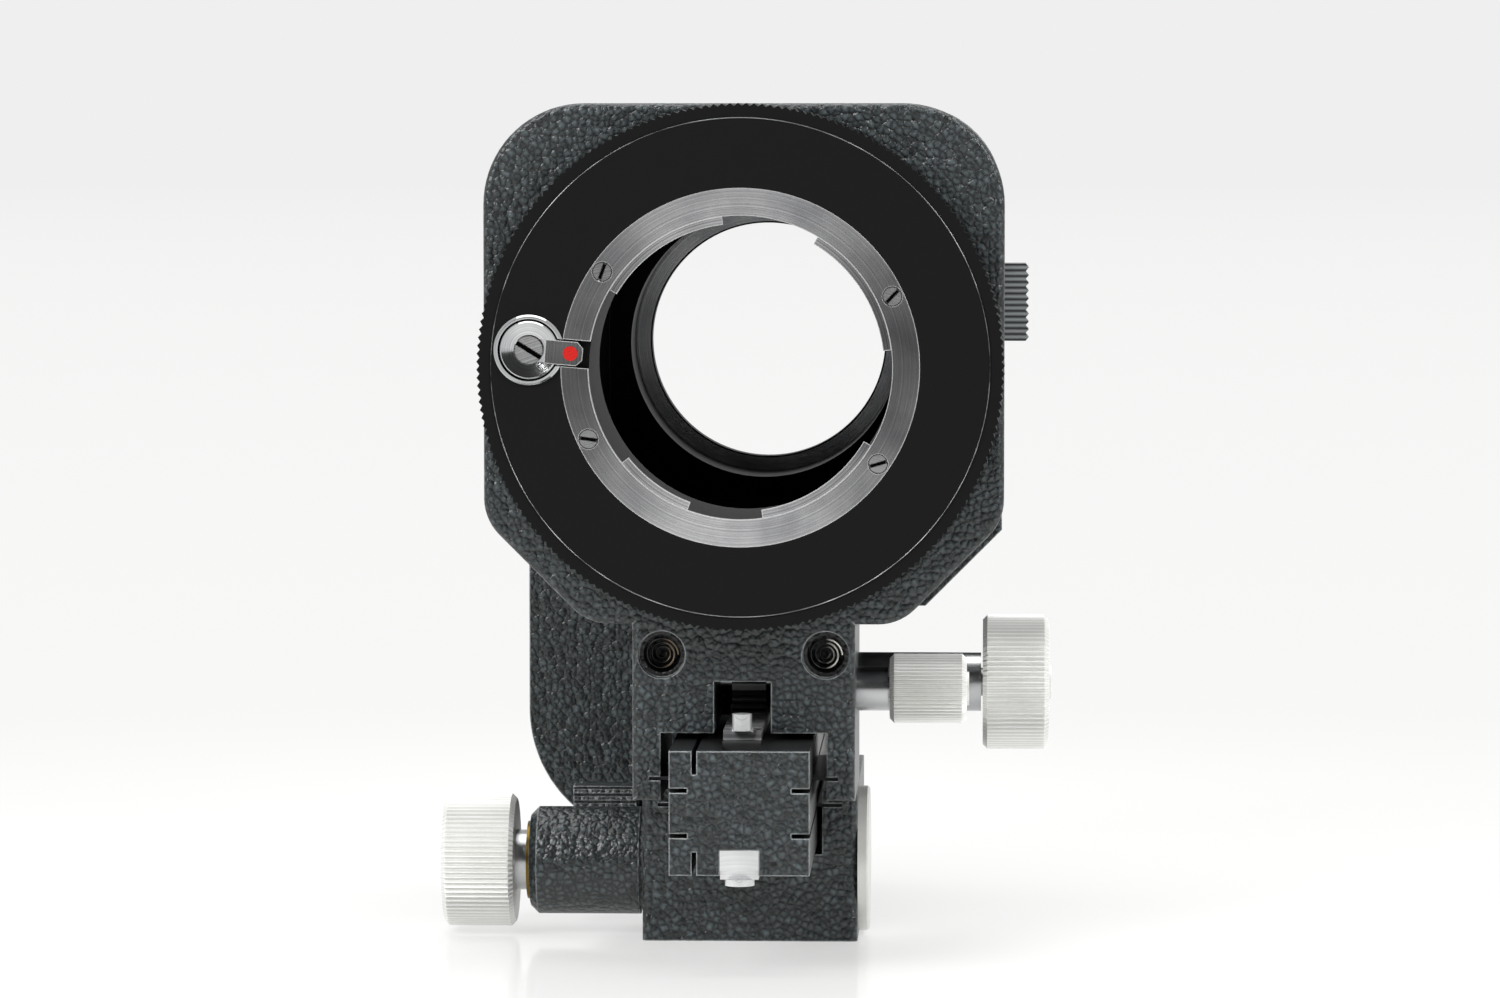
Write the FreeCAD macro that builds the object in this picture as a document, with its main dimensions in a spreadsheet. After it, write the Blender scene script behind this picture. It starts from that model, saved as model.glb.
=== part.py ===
import FreeCAD, Part
import math
import os
import re
import Sketcher

# Macro bellows unit: a focusing rail slides in a base block, a rear standard stands on the
# rail's end, and a front standard rides along the rail, joined to the rear one by a bellows.
# Frame: +X to the right and +Y away from someone facing the lens side, +Z up, millimetres.
# The origin is the mouth of the tripod socket, in the middle of the base block's underside.

# Driving sizes
DRIVING = {
    # Optical axis and clearances
    "axis_over_drive": 57.5,
    "running_gap": 0.05,
    "side_gap": 0.3,
    "seat_gap": 0.02,
    # Base block, a U that the rail slides in
    "base_width": 38.4,
    "base_length": 60.0,
    "base_grip": 9.6,
    "base_floor_gap": 2.0,
    "channel_width": 25.8,
    "base_round": 1.2,
    "base_cover_radius": 13.0,
    "base_cover_thick": 2.0,
    "cover_edge": 0.4,
    "tripod_bush_radius": 7.0,
    "tripod_bush_length": 9.0,
    "tripod_thread_radius": 2.55,
    # Rail with slits for the gib blades
    "rail_width": 24.0,
    "rail_low": 17.6,
    "rail_tall": 21.3,
    "rail_front": -77.2,
    "rail_cap": 1.5,
    "slit_tall": 0.76,
    "slit_deep": 3.1,
    "upper_slit_rise": 14.55,
    "lower_slit_rise": 6.8,
    "adjust_slit_wide": 0.8,
    "adjust_slit_x": -7.7,
    "adjust_slit_deep": 4.0,
    "blade_thick": 0.6,
    "blade_tip_gap": 0.4,
    # Racks let into the rail, and their pinions
    "rack_width": 6.6,
    "upper_module": 0.8,
    "upper_teeth": 15,
    "upper_rack_proud": 1.6,
    "upper_rack_front": -66.1,
    "upper_rack_sink": 2.4,
    "lower_module": 0.75,
    "lower_teeth": 12,
    "lower_rack_proud": 0.1,
    "lower_rack_sink": 4.3,
    "rack_rear": 40.0,
    "tooth_play": 0.12,
    "tooth_tip": 0.9,
    "tooth_root": 1.2,
    "pressure_angle": 20.0,
    "stop_screw_radius": 1.7,
    "stop_screw_tall": 2.9,
    "end_screw_radius": 2.55,
    "end_screw_thick": 1.1,
    # Focus drive on the left
    "focus_axis_y": -18.0,
    "barrel_radius": 9.65,
    "barrel_length": 20.6,
    "barrel_chamfer": 1.4,
    "barrel_neck_long": 0.8,
    "barrel_neck_deep": 0.7,
    "bush_radius": 7.0,
    "bush_proud": 0.6,
    "bush_length": 12.6,
    "focus_journal_radius": 5.4,
    "focus_shaft_radius": 2.5,
    "focus_shaft_reach": 9.0,
    "focus_knob_gap": 2.1,
    # Knobs
    "knob_radius": 11.9,
    "knob_flutes": 78,
    "flute_deep": 0.45,
    "knob_chamfer": 0.8,
    "knob_bore_deep": 8.0,
    "knob_hole_deep": 2.0,
    "focus_knob_length": 12.9,
    "extension_knob_length": 11.7,
    "knob_hub_radius": 4.0,
    "knob_boss_radius": 2.95,
    "knob_boss_proud": 0.4,
    "knob_hole_radius": 1.0,
    "knob_hole_spread": 7.5,
    "lock_knob_radius": 6.1,
    "lock_knob_length": 13.5,
    "lock_knob_flutes": 52,
    # Base lock lever behind the barrel
    "lever_axis_y": 6.0,
    "lever_axis_z": 19.5,
    "lever_hub_radius": 5.0,
    "lever_grip_inner": -21.8,
    "lever_grip_wide": 11.6,
    "lever_grip_front": -2.0,
    "lever_grip_thick": 5.0,
    "lever_grip_low": 8.0,
    "lever_grip_top": 24.6,
    "lever_ridge": 0.65,
    "lever_ridge_deep": 0.35,
    "lever_screw_radius": 2.5,
    # Front standard
    "plate_width": 90.0,
    "plate_half_tall": 45.0,
    "plate_front": -58.3,
    "plate_thick": 16.0,
    "plate_corner": 17.5,
    "plate_cut": 18.0,
    "plate_cut_round": 9.0,
    "plate_edge": 1.0,
    "foot_width": 38.6,
    "foot_step": 0.3,
    "foot_gap": 1.1,
    "foot_depth": 38.4,
    "foot_channel_width": 28.8,
    "foot_clearance": 1.2,
    "recess_left": -5.1,
    "recess_right": 4.75,
    "recess_rise": 2.55,
    "socket_x": 14.2,
    "socket_drop": 5.0,
    "socket_counterbore": 4.1,
    "socket_counterbore_deep": 2.0,
    "socket_thread_radius": 3.2,
    "socket_deep": 12.0,
    "blade_root": 16.4,
    # Extension drive and rail lock on the right
    "extension_axis_back": 29.3,
    "extension_sleeve_radius": 5.2,
    "extension_sleeve_length": 21.8,
    "extension_shaft_radius": 2.5,
    "lock_axis_back": 16.3,
    "lock_sleeve_radius": 3.8,
    "lock_sleeve_length": 5.5,
    "lock_screw_radius": 2.0,
    "lock_screw_tip": 8.6,
    "brake_radius": 2.5,
    "brake_x": 7.0,
    # Lens ring, turned as it stands in use
    "lens_ring_turn": 4.8,
    "lens_ring_radius": 45.0,
    "lens_ring_proud": 14.8,
    "lens_ring_knurls": 204,
    "lens_knurl_deep": 0.5,
    "lens_band_radius": 42.5,
    "lens_band_step": 0.25,
    "lens_neck_radius": 29.0,
    "lens_throat_radius": 25.9,
    "retainer_radius": 33.5,
    "retainer_thick": 2.4,
    "retainer_recess": 3.0,
    "lens_bayonet_radius": 30.6,
    "lens_bayonet_thick": 1.6,
    "lens_bayonet_sink": 0.1,
    "lens_lug_radius": 24.5,
    "lens_lug_step": 26.9,
    "lens_lug_sink": 0.3,
    "lens_screw_circle": 28.6,
    "small_screw_head": 1.7,
    "small_screw_shank": 0.8,
    "small_screw_length": 4.5,
    "small_screw_sink": 1.0,
    "screw_slot_share": 0.28,
    # Lens lock button
    "lock_button_x": -36.1,
    "bezel_radius": 6.0,
    "bezel_inner": 5.3,
    "bezel_proud": 0.8,
    "lock_well_deep": 6.0,
    "lock_button_radius": 5.0,
    "lock_button_proud": 1.0,
    "lock_button_thick": 4.2,
    "lock_button_dish": 0.7,
    "lock_button_screw": 2.45,
    "lock_button_edge": 0.3,
    "lock_spring_radius": 3.6,
    "lock_spring_wire": 0.8,
    "lock_travel": 2.0,
    "tongue_wide": 4.07,
    "tongue_short": 1.0,
    "tongue_thick": 1.2,
    "tongue_proud": 0.5,
    "index_dot_x": -29.0,
    "index_dot_radius": 1.25,
    "index_dot_thick": 0.12,
    # Bellows and its frames
    "bellows_half": 37.0,
    "bellows_fold": 7.0,
    "bellows_corner": 9.0,
    "bellows_wall": 0.7,
    "bellows_pleats": 16,
    "bellows_frame_margin": 1.5,
    "bellows_frame_thick": 2.0,
    "bellows_frame_corner": 7.0,
    # Rear standard and its camera ring
    "rear_front": 46.1,
    "rear_thick": 14.0,
    "rear_waist": 54.0,
    "rear_cut": 14.5,
    "leg_right": 16.0,
    "leg_low": 9.1,
    "leg_round": 25.0,
    "camera_neck_radius": 30.0,
    "camera_flange_radius": 36.0,
    "camera_flange_thick": 4.0,
    "camera_ring_edge": 0.8,
    "camera_ring_wall": 3.0,
    "camera_throat_radius": 22.5,
    "camera_plate_radius": 30.5,
    "camera_plate_thick": 1.6,
    "camera_barrel_radius": 24.1,
    "camera_lug_radius": 25.6,
    "camera_barrel_end": 68.7,
    "camera_lug_thick": 1.4,
    "camera_lug_angle": 52.0,
    "camera_screw_circle": 27.8,
    "rail_screw_x": 7.0,
    "rail_screw_z": 28.0,
    "rail_screw_head": 3.5,
    "rail_screw_shank": 2.0,
    "rail_screw_bite": 10.0,
    "rail_screw_head_thick": 3.0,
    "rail_screw_sink": 2.0,
    # Rotation release on the rear standard's right side
    "release_front": 49.4,
    "release_thick": 7.6,
    "release_low": 104.3,
    "release_tall": 14.7,
    "release_outer": 50.0,
    "release_inner": 40.4,
    "release_well": 38.0,
    "release_ridges": 10,
    "release_ridge_deep": 0.6,
    "release_spring_radius": 2.6,
    "release_spring_wire": 0.6,
}

# Sizes worked out from the driving ones
DERIVED = {
    "base_floor": "rail_low - base_floor_gap",
    "base_tall": "rail_low + base_grip",
    "base_side": "base_width / 2",
    "base_end": "base_length / 2",
    "channel_side": "channel_width / 2",
    "rail_side": "rail_width / 2",
    "rail_top": "rail_low + rail_tall",
    "upper_slit": "rail_low + upper_slit_rise",
    "lower_slit": "rail_low + lower_slit_rise",
    "rack_side": "rack_width / 2",
    "upper_rack_bed": "rail_top - upper_rack_sink",
    "upper_pitch_height": "rail_top + upper_rack_proud",
    "upper_rack_tip": "upper_pitch_height + tooth_tip * upper_module",
    "lower_rack_bed": "rail_low + lower_rack_sink",
    "lower_pitch_height": "rail_low - lower_rack_proud",
    "lower_rack_tip": "lower_pitch_height - tooth_tip * lower_module",
    "blade_tip": "rail_side - slit_deep + blade_tip_gap",
    "upper_pitch_radius": "upper_module * upper_teeth / 2",
    "lower_pitch_radius": "lower_module * lower_teeth / 2",
    "focus_axis_z": "lower_pitch_height - lower_pitch_radius",
    "barrel_end": "-base_side - barrel_length",
    "bush_end": "barrel_end - bush_proud",
    "bush_inner_end": "bush_end + bush_length",
    "focus_knob_face": "bush_end - focus_knob_gap",
    "focus_knob_end": "focus_knob_face - focus_knob_length",
    "drive_height": "upper_pitch_height + upper_pitch_radius",
    "axis_height": "drive_height + axis_over_drive",
    "extension_axis_y": "plate_front + extension_axis_back",
    "lock_axis_y": "plate_front + lock_axis_back",
    "recess_top": "drive_height + recess_rise",
    "plate_side": "plate_width / 2",
    "plate_top": "axis_height + plate_half_tall",
    "plate_low": "axis_height - plate_half_tall",
    "plate_rear": "plate_front + plate_thick",
    "foot_side": "foot_width / 2",
    "foot_rear": "plate_front + foot_depth",
    "foot_low": "base_tall + foot_gap",
    "foot_top": "plate_low - foot_step",
    "foot_channel_top": "rail_top + foot_clearance",
    "socket_z": "foot_top - socket_drop",
    "foot_channel_side": "foot_channel_width / 2",
    "sleeve_end": "foot_side + extension_sleeve_length",
    "extension_knob_face": "sleeve_end + side_gap",
    "extension_knob_end": "extension_knob_face + extension_knob_length",
    "lock_sleeve_end": "foot_side + lock_sleeve_length",
    "lock_knob_face": "lock_sleeve_end + side_gap",
    "lens_ring_front": "plate_front - lens_ring_proud",
    "lens_ring_rear": "plate_front - side_gap",
    "retainer_front": "plate_rear - retainer_recess + side_gap",
    "lens_neck_end": "retainer_front + retainer_thick",
    "lens_bayonet_front": "lens_ring_front + lens_bayonet_sink",
    "lens_bayonet_rear": "lens_bayonet_front + lens_bayonet_thick",
    "tongue_front": "lens_ring_front - tongue_proud",
    "tongue_rear": "tongue_front + tongue_thick",
    "tongue_tip_x": "-lens_throat_radius - tongue_short",
    "button_front": "lens_ring_front - lock_button_proud",
    "button_rear": "button_front + lock_button_thick",
    "well_floor": "lens_ring_front + lock_well_deep",
    "bellows_frame_half": "bellows_half + bellows_frame_margin",
    "bellows_inner": "bellows_half - bellows_fold - bellows_wall",
    "rear_back": "rear_front + rear_thick",
    "camera_flange_front": "rear_back + side_gap",
    "camera_flange_rear": "camera_flange_front + camera_flange_thick",
    "camera_neck_front": "rear_front + side_gap",
    "camera_plate_rear": "camera_flange_rear + camera_plate_thick",
}

doc = FreeCAD.newDocument("MacroBellows")
sheet = doc.addObject("Spreadsheet::Sheet", "Sizes")
row = 0
for alias, value in DRIVING.items():
    row += 1
    sheet.set(f"A{row}", alias)
    sheet.set(f"B{row}", str(value))
    sheet.setAlias(f"B{row}", alias)
for alias, formula in DERIVED.items():
    row += 1
    sheet.set(f"A{row}", alias)
    sheet.set(f"B{row}", "=" + formula)
    sheet.setAlias(f"B{row}", alias)
doc.recompute()

ALIASES = set(DRIVING) | set(DERIVED)
PARTS = []


def size(alias):
    """One size from the sheet."""
    return float(sheet.get(alias))


def formula(text):
    """An expression with the sheet's name put before each of its aliases."""
    return re.sub(r"[a-z_]+", lambda m: "Sizes." + m[0] if m[0] in ALIASES else m[0], str(text))


def bind(thing, prop, text):
    thing.setExpression(prop, formula(text))


def node(name, thing):
    """Marks a finished piece, which is written to a file of its own."""
    thing.Label = name
    PARTS.append(thing)
    return thing


# Primitives and booleans bound to the sheet

def box(x, y, z):
    """A block between two planes each way: x, y and z are pairs of expressions."""
    block = doc.addObject("Part::Box", "Block")
    for prop, (low, high) in zip(("Length", "Width", "Height"), (x, y, z)):
        bind(block, prop, f"({high}) - ({low})")
    for way, (low, _) in zip("xyz", (x, y, z)):
        bind(block, f"Placement.Base.{way}", low)
    return block


TURNS = {
    "X": FreeCAD.Rotation(FreeCAD.Vector(0, 1, 0), 90),
    "Y": FreeCAD.Rotation(FreeCAD.Vector(1, 0, 0), -90),
    "Z": FreeCAD.Rotation(),
}


def rod(axis, radius, low, high, across):
    """A cylinder along an axis, from low to high; across is its place the other two ways."""
    cylinder = doc.addObject("Part::Cylinder", "Rod")
    bind(cylinder, "Radius", radius)
    bind(cylinder, "Height", f"({high}) - ({low})")
    cylinder.Placement = FreeCAD.Placement(FreeCAD.Vector(), TURNS[axis])
    places = list(across)
    places.insert("XYZ".index(axis), low)
    for way, place in zip("xyz", places):
        bind(cylinder, f"Placement.Base.{way}", place)
    return cylinder


def fuse(*things):
    joined = doc.addObject("Part::MultiFuse", "Joined")
    joined.Shapes = list(things)
    return joined


def cut(base, *tools):
    carved = doc.addObject("Part::Cut", "Carved")
    carved.Base = base
    carved.Tool = tools[0] if len(tools) == 1 else fuse(*tools)
    return carved


def made(name, shape):
    """A shape worked out from the sheet by a rule, such as teeth."""
    thing = doc.addObject("Part::Feature", name)
    thing.Shape = shape
    return thing


def placed(thing, turn="0"):
    """Puts a piece that is modelled about the optical axis at its height, turned about it."""
    carrier = doc.addObject("Part::Compound", "Carrier")
    carrier.Links = [thing]
    carrier.Placement = FreeCAD.Placement(
        FreeCAD.Vector(), FreeCAD.Rotation(FreeCAD.Vector(0, 1, 0), 1)
    )
    bind(carrier, "Placement.Base.z", "axis_height")
    bind(carrier, "Placement.Rotation.Angle", turn)
    return carrier


# Sketched bodies

def outline(body, plane, loops, start="0"):
    """A sketch of closed loops; each vertex is held by its two distances from the origin."""
    sketch = body.newObject("Sketcher::SketchObject", "Outline")
    origin = next(f for f in body.Origin.OriginFeatures if f.Role == plane)
    sketch.AttachmentSupport = (origin, [""])
    sketch.MapMode = "FlatFace"
    bind(sketch, "AttachmentOffset.Base.z", start)
    for loop in loops:
        first = sketch.GeometryCount
        count = len(loop)
        circle = [(math.cos(6.2832 * n / count), math.sin(6.2832 * n / count)) for n in range(count)]
        for n in range(count):
            a = FreeCAD.Vector(*circle[n], 0)
            b = FreeCAD.Vector(*circle[(n + 1) % count], 0)
            sketch.addGeometry(Part.LineSegment(a, b), False)
        for n in range(count):
            here = first + n
            after = first + (n + 1) % count
            sketch.addConstraint(Sketcher.Constraint("Coincident", here, 2, after, 1))
        for n, vertex in enumerate(loop):
            for kind, axis, place, guess in zip(("DistanceX", "DistanceY"), (-2, -1), vertex, circle[n]):
                if place == "0":
                    sketch.addConstraint(Sketcher.Constraint("PointOnObject", first + n, 1, axis))
                    continue
                held = sketch.addConstraint(Sketcher.Constraint(kind, -1, 1, first + n, 1, guess))
                bind(sketch, f"Constraints[{held}]", place)
    doc.recompute()
    return sketch


def rectangle(low_x, high_x, low_y, high_y):
    return [(low_x, low_y), (high_x, low_y), (high_x, high_y), (low_x, high_y)]


def new_body(name):
    return doc.addObject("PartDesign::Body", name)


def pad(body, plane, loops, low, high):
    """Material between two planes; on the XZ plane low and high are places along +Y."""
    sign = "-1 * " if plane == "XZ_Plane" else ""
    start = high if plane == "XZ_Plane" else low
    feature = body.newObject("PartDesign::Pad", "Pad")
    feature.Profile = outline(body, plane, loops, f"{sign}({start})")
    bind(feature, "Length", f"({high}) - ({low})")
    doc.recompute()
    return feature


def pocket(body, plane, loops, low, high):
    """Removes what lies between two planes."""
    sign = "-1 * " if plane == "XZ_Plane" else ""
    start = low if plane == "XZ_Plane" else high
    before = body.Shape.Volume
    feature = body.newObject("PartDesign::Pocket", "Pocket")
    feature.Profile = outline(body, plane, loops, f"{sign}({start})")
    bind(feature, "Length", f"({high}) - ({low})")
    doc.recompute()
    if body.Shape.Volume >= before:
        raise ValueError(f"{body.Label}: a pocket removes nothing")
    return feature


def turned(name, axis, profile, across=("0", "0")):
    """A body of revolution about an axis; its profile is a list of (place along, radius)."""
    body = new_body(name)
    feature = body.newObject("PartDesign::Revolution", "Turned")
    sketch = outline(body, "XY_Plane", [profile])
    feature.Profile = sketch
    feature.ReferenceAxis = (sketch, ["H_Axis"])
    feature.Angle = 360
    lay = {
        "X": FreeCAD.Rotation(),
        "Y": FreeCAD.Rotation(FreeCAD.Vector(0, 0, 1), 90),
        "Z": FreeCAD.Rotation(FreeCAD.Vector(0, 1, 0), -90),
    }
    body.Placement = FreeCAD.Placement(FreeCAD.Vector(), lay[axis])
    ways = [way for way in "xyz" if way != axis.lower()]
    for way, place in zip(ways, across):
        bind(body, f"Placement.Base.{way}", place)
    return body


def ring(name, outer, inner, low, high, across=("0", "0"), axis="Y"):
    """A plain tube about an axis."""
    return turned(name, axis, rectangle(low, high, inner, outer), across)


def dress(body, kind, radius, chosen):
    """Rounds or chamfers the edges of a body that the function chosen picks."""
    base = body.Tip
    edges = [f"Edge{n}" for n, edge in enumerate(base.Shape.Edges, 1) if chosen(edge)]
    feature = body.newObject(f"PartDesign::{kind}", kind)
    feature.Base = (base, edges)
    bind(feature, "Radius" if kind == "Fillet" else "Size", radius)
    doc.recompute()
    return feature


def along(edge, axis):
    """Whether a straight edge runs along an axis."""
    if edge.Curve.TypeId != "Part::GeomLine":
        return False
    way = edge.Curve.Direction
    return abs(abs((way.x, way.y, way.z)["XYZ".index(axis)]) - 1) < 1e-6


def near(number, alias_value):
    return abs(number - alias_value) < 1e-3


def lies(edge, way, place):
    """Whether a whole edge lies on the plane where one coordinate has the given value."""
    box_of_edge = edge.BoundBox
    low, high = {
        "x": (box_of_edge.XMin, box_of_edge.XMax),
        "y": (box_of_edge.YMin, box_of_edge.YMax),
        "z": (box_of_edge.ZMin, box_of_edge.ZMax),
    }[way]
    return near(low, place) and near(high, place)


# Toothed forms

def polygon(points):
    return Part.makePolygon(points + points[:1])


def skinned(rings):
    """Flat faces between successive rings of points, whose edges run parallel."""
    faces = []
    for one, two in zip(rings, rings[1:]):
        for n in range(len(one)):
            after = (n + 1) % len(one)
            faces.append(Part.Face(polygon([one[n], one[after], two[after], two[n]])))
    return faces


def fluted_points(radius, deep, count, place, axis):
    """A star outline with one crest and one valley for each flute, square to an axis."""
    points = []
    for n in range(2 * count):
        angle = math.pi * n / count
        reach = radius - deep * (n % 2)
        across = (reach * math.cos(angle), reach * math.sin(angle))
        if axis == "X":
            points.append(FreeCAD.Vector(place, *across))
        else:
            points.append(FreeCAD.Vector(across[0], place, across[1]))
    return points


def fluted_knob(radius, deep, count, low, high, chamfer):
    """A fluted wheel about X with chamfered rims."""
    taper = 1 - chamfer / radius
    rings = [
        fluted_points(radius * share, deep * share, count, place, "X")
        for place, share in ((low, taper), (low + chamfer, 1), (high - chamfer, 1), (high, taper))
    ]
    ends = [Part.Face(polygon(rings[n])) for n in (0, -1)]
    return Part.Solid(Part.Shell(skinned(rings) + ends))


def gear_points(module, teeth, play, place):
    """An involute pinion's outline square to X, with one tooth pointing straight down."""
    pressure = math.radians(size("pressure_angle"))
    pitch_radius = module * teeth / 2
    base_radius = pitch_radius * math.cos(pressure)
    root = pitch_radius - size("tooth_root") * module
    tip = pitch_radius + module

    def half_angle(reach):
        slope = math.acos(min(1.0, base_radius / max(reach, base_radius)))
        rolled = math.tan(slope) - slope
        return math.pi / (2 * teeth) - play / pitch_radius + math.tan(pressure) - pressure - rolled

    reaches = (root, base_radius, pitch_radius, tip)
    points = []
    for tooth in range(teeth):
        middle = -math.pi / 2 + 2 * math.pi * tooth / teeth
        flank = [(reach, half_angle(reach)) for reach in reaches]
        for reach, half in [(r, -a) for r, a in flank] + flank[::-1]:
            angle = middle + half
            points.append(FreeCAD.Vector(place, reach * math.cos(angle), reach * math.sin(angle)))
    return points


def pinion(module, teeth, play, low, high, bore, axis_y, axis_z):
    """A pinion about X, bored for its shaft."""
    blank = Part.Face(polygon(gear_points(module, teeth, play, low))).extrude(
        FreeCAD.Vector(high - low, 0, 0)
    )
    hole = Part.makeCylinder(bore, high - low, FreeCAD.Vector(low, 0, 0), FreeCAD.Vector(1, 0, 0))
    shape = blank.cut(hole)
    shape.translate(FreeCAD.Vector(0, axis_y, axis_z))
    return shape


def rack(module, play, side, front, rear, bed, pitch_height, gap_y):
    """A rack whose teeth point away from its bed, with a gap centred at gap_y."""
    pitch = math.pi * module
    up = 1 if pitch_height > bed else -1
    slope = math.tan(math.radians(size("pressure_angle")))
    tip = size("tooth_tip") * module
    root = size("tooth_root") * module
    half_tip = pitch / 4 - play - tip * slope
    half_root = pitch / 4 - play + root * slope
    first = math.ceil((front + half_root - gap_y) / pitch - 0.5)
    last = math.floor((rear - half_root - gap_y) / pitch - 0.5)
    points = [(front, pitch_height - up * root)]
    for n in range(first, last + 1):
        middle = gap_y + (n + 0.5) * pitch
        points += [
            (middle - half_root, pitch_height - up * root),
            (middle - half_tip, pitch_height + up * tip),
            (middle + half_tip, pitch_height + up * tip),
            (middle + half_root, pitch_height - up * root),
        ]
    points += [(rear, pitch_height - up * root), (rear, bed), (front, bed)]
    wire = polygon([FreeCAD.Vector(-side, y, z) for y, z in points])
    return Part.Face(wire).extrude(FreeCAD.Vector(2 * side, 0, 0))


# Screws

def slotted_screw(head, thick, shank, length, sunk):
    """A slotted screw along +Y with its head's face at the origin; a sunk head tapers."""
    along_y = FreeCAD.Vector(0, 1, 0)
    here = FreeCAD.Vector()
    if sunk:
        top = Part.makeCone(head, shank, thick, here, along_y)
    else:
        top = Part.makeCylinder(head, thick, here, along_y)
    body = top.fuse(Part.makeCylinder(shank, length, here, along_y))
    slot_wide = head * size("screw_slot_share")
    slot = Part.makeBox(2 * head + 1, 2 * slot_wide, slot_wide)
    slot.translate(FreeCAD.Vector(-head - 0.5, -slot_wide, -slot_wide / 2))
    return body.cut(slot)


def on_circle(shape, radius, angles, face_y):
    """Copies of a screw round the optical axis, each turned to its own angle."""
    copies = []
    for angle in angles:
        copy = shape.copy()
        copy.rotate(FreeCAD.Vector(), FreeCAD.Vector(0, 1, 0), -angle * 1.7)
        turn = math.radians(angle)
        copy.translate(FreeCAD.Vector(radius * math.cos(turn), face_y, radius * math.sin(turn)))
        copies.append(copy)
    return Part.makeCompound(copies)


# Base block
block = new_body("BaseCasting")
pad(block, "XZ_Plane", [[
    ("-base_side", "0"), ("base_side", "0"), ("base_side", "base_tall"),
    ("channel_side", "base_tall"), ("channel_side", "base_floor"),
    ("-channel_side", "base_floor"), ("-channel_side", "base_tall"), ("-base_side", "base_tall"),
]], "-base_end", "base_end")
dress(block, "Fillet", "base_round", lambda e: (
    along(e, "Z") and near(abs(e.BoundBox.XMin), size("base_side"))))
blade_slots = [
    box((a, b), ("-base_end - 1", "base_end + 1"),
        ("lower_slit - blade_thick / 2 - seat_gap", "lower_slit + blade_thick / 2 + seat_gap"))
    for a, b in (("-blade_root", "-channel_side + 1"), ("channel_side - 1", "blade_root"))
]
pinion_well = box(
    ("-rack_side - side_gap", "rack_side + side_gap"),
    ("focus_axis_y - lower_pitch_radius - lower_module - side_gap",
     "focus_axis_y + lower_pitch_radius + lower_module + side_gap"),
    ("focus_axis_z - lower_pitch_radius - lower_module - side_gap", "base_floor + 1"),
)
focus_place = ("focus_axis_y", "focus_axis_z")
lever_place = ("lever_axis_y", "lever_axis_z")
node("base_block", cut(
    block, *blade_slots, pinion_well,
    rod("X", "focus_shaft_radius + running_gap", "-base_side - 1", "focus_shaft_reach + 1", focus_place),
    rod("X", "lever_screw_radius + running_gap", "-base_side - 1", "-channel_side + 1", lever_place),
    rod("Z", "tripod_bush_radius", "-1", "tripod_bush_length", ("0", "0")),
))
node("tripod_bush", ring("TripodBush", "tripod_bush_radius", "tripod_thread_radius",
                         "0", "tripod_bush_length", axis="Z"))
for name, sign in (("left", "-"), ("right", "")):
    ends = ["blade_tip", "blade_root"]
    if sign:
        ends = ["-blade_root", "-blade_tip"]
    node(f"base_gib_{name}", box(
        ends, ("-base_end + 1", "base_end - 1"),
        ("lower_slit - blade_thick / 2", "lower_slit + blade_thick / 2")))
    node(f"front_gib_{name}", box(
        ends, ("plate_front + 1", "foot_rear - 1"),
        ("upper_slit - blade_thick / 2", "upper_slit + blade_thick / 2")))
node("base_side_cover", turned("SideCover", "X", [
    ("base_side", "0"), ("base_side", "base_cover_radius"),
    ("base_side + base_cover_thick - cover_edge", "base_cover_radius"),
    ("base_side + base_cover_thick", "base_cover_radius - cover_edge"),
    ("base_side + base_cover_thick", "0"),
], ("focus_axis_y", "base_tall / 2")))

# Focus drive: barrel and bush on the base, knob, shaft and pinion turning in them
node("focus_barrel", turned("Barrel", "X", [
    ("barrel_end", "bush_radius"), ("barrel_end", "barrel_radius - barrel_chamfer"),
    ("barrel_end + barrel_chamfer", "barrel_radius"),
    ("-base_side - barrel_neck_long", "barrel_radius"),
    ("-base_side - barrel_neck_long", "barrel_radius - barrel_neck_deep"),
    ("-base_side", "barrel_radius - barrel_neck_deep"),
    ("-base_side", "focus_shaft_radius + 1"), ("bush_inner_end", "focus_shaft_radius + 1"),
    ("bush_inner_end", "bush_radius"),
], focus_place))
node("focus_bush", ring("FocusBush", "bush_radius", "focus_journal_radius + running_gap",
                        "bush_end", "bush_inner_end", focus_place, "X"))
node("focus_shaft", turned("FocusShaft", "X", [
    ("focus_knob_face - knob_bore_deep", "0"),
    ("focus_knob_face - knob_bore_deep", "knob_hub_radius"),
    ("focus_knob_face", "knob_hub_radius"), ("focus_knob_face", "focus_journal_radius"),
    ("bush_inner_end - side_gap", "focus_journal_radius"),
    ("bush_inner_end - side_gap", "focus_shaft_radius"),
    ("focus_shaft_reach", "focus_shaft_radius"), ("focus_shaft_reach", "0"),
], focus_place))
node("focus_pinion", made("FocusPinion", pinion(
    size("lower_module"), int(size("lower_teeth")), size("tooth_play"),
    -size("rack_side") + size("side_gap"), size("rack_side") - size("side_gap"),
    size("focus_shaft_radius"),
    size("focus_axis_y"), size("focus_axis_z"))))


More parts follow.
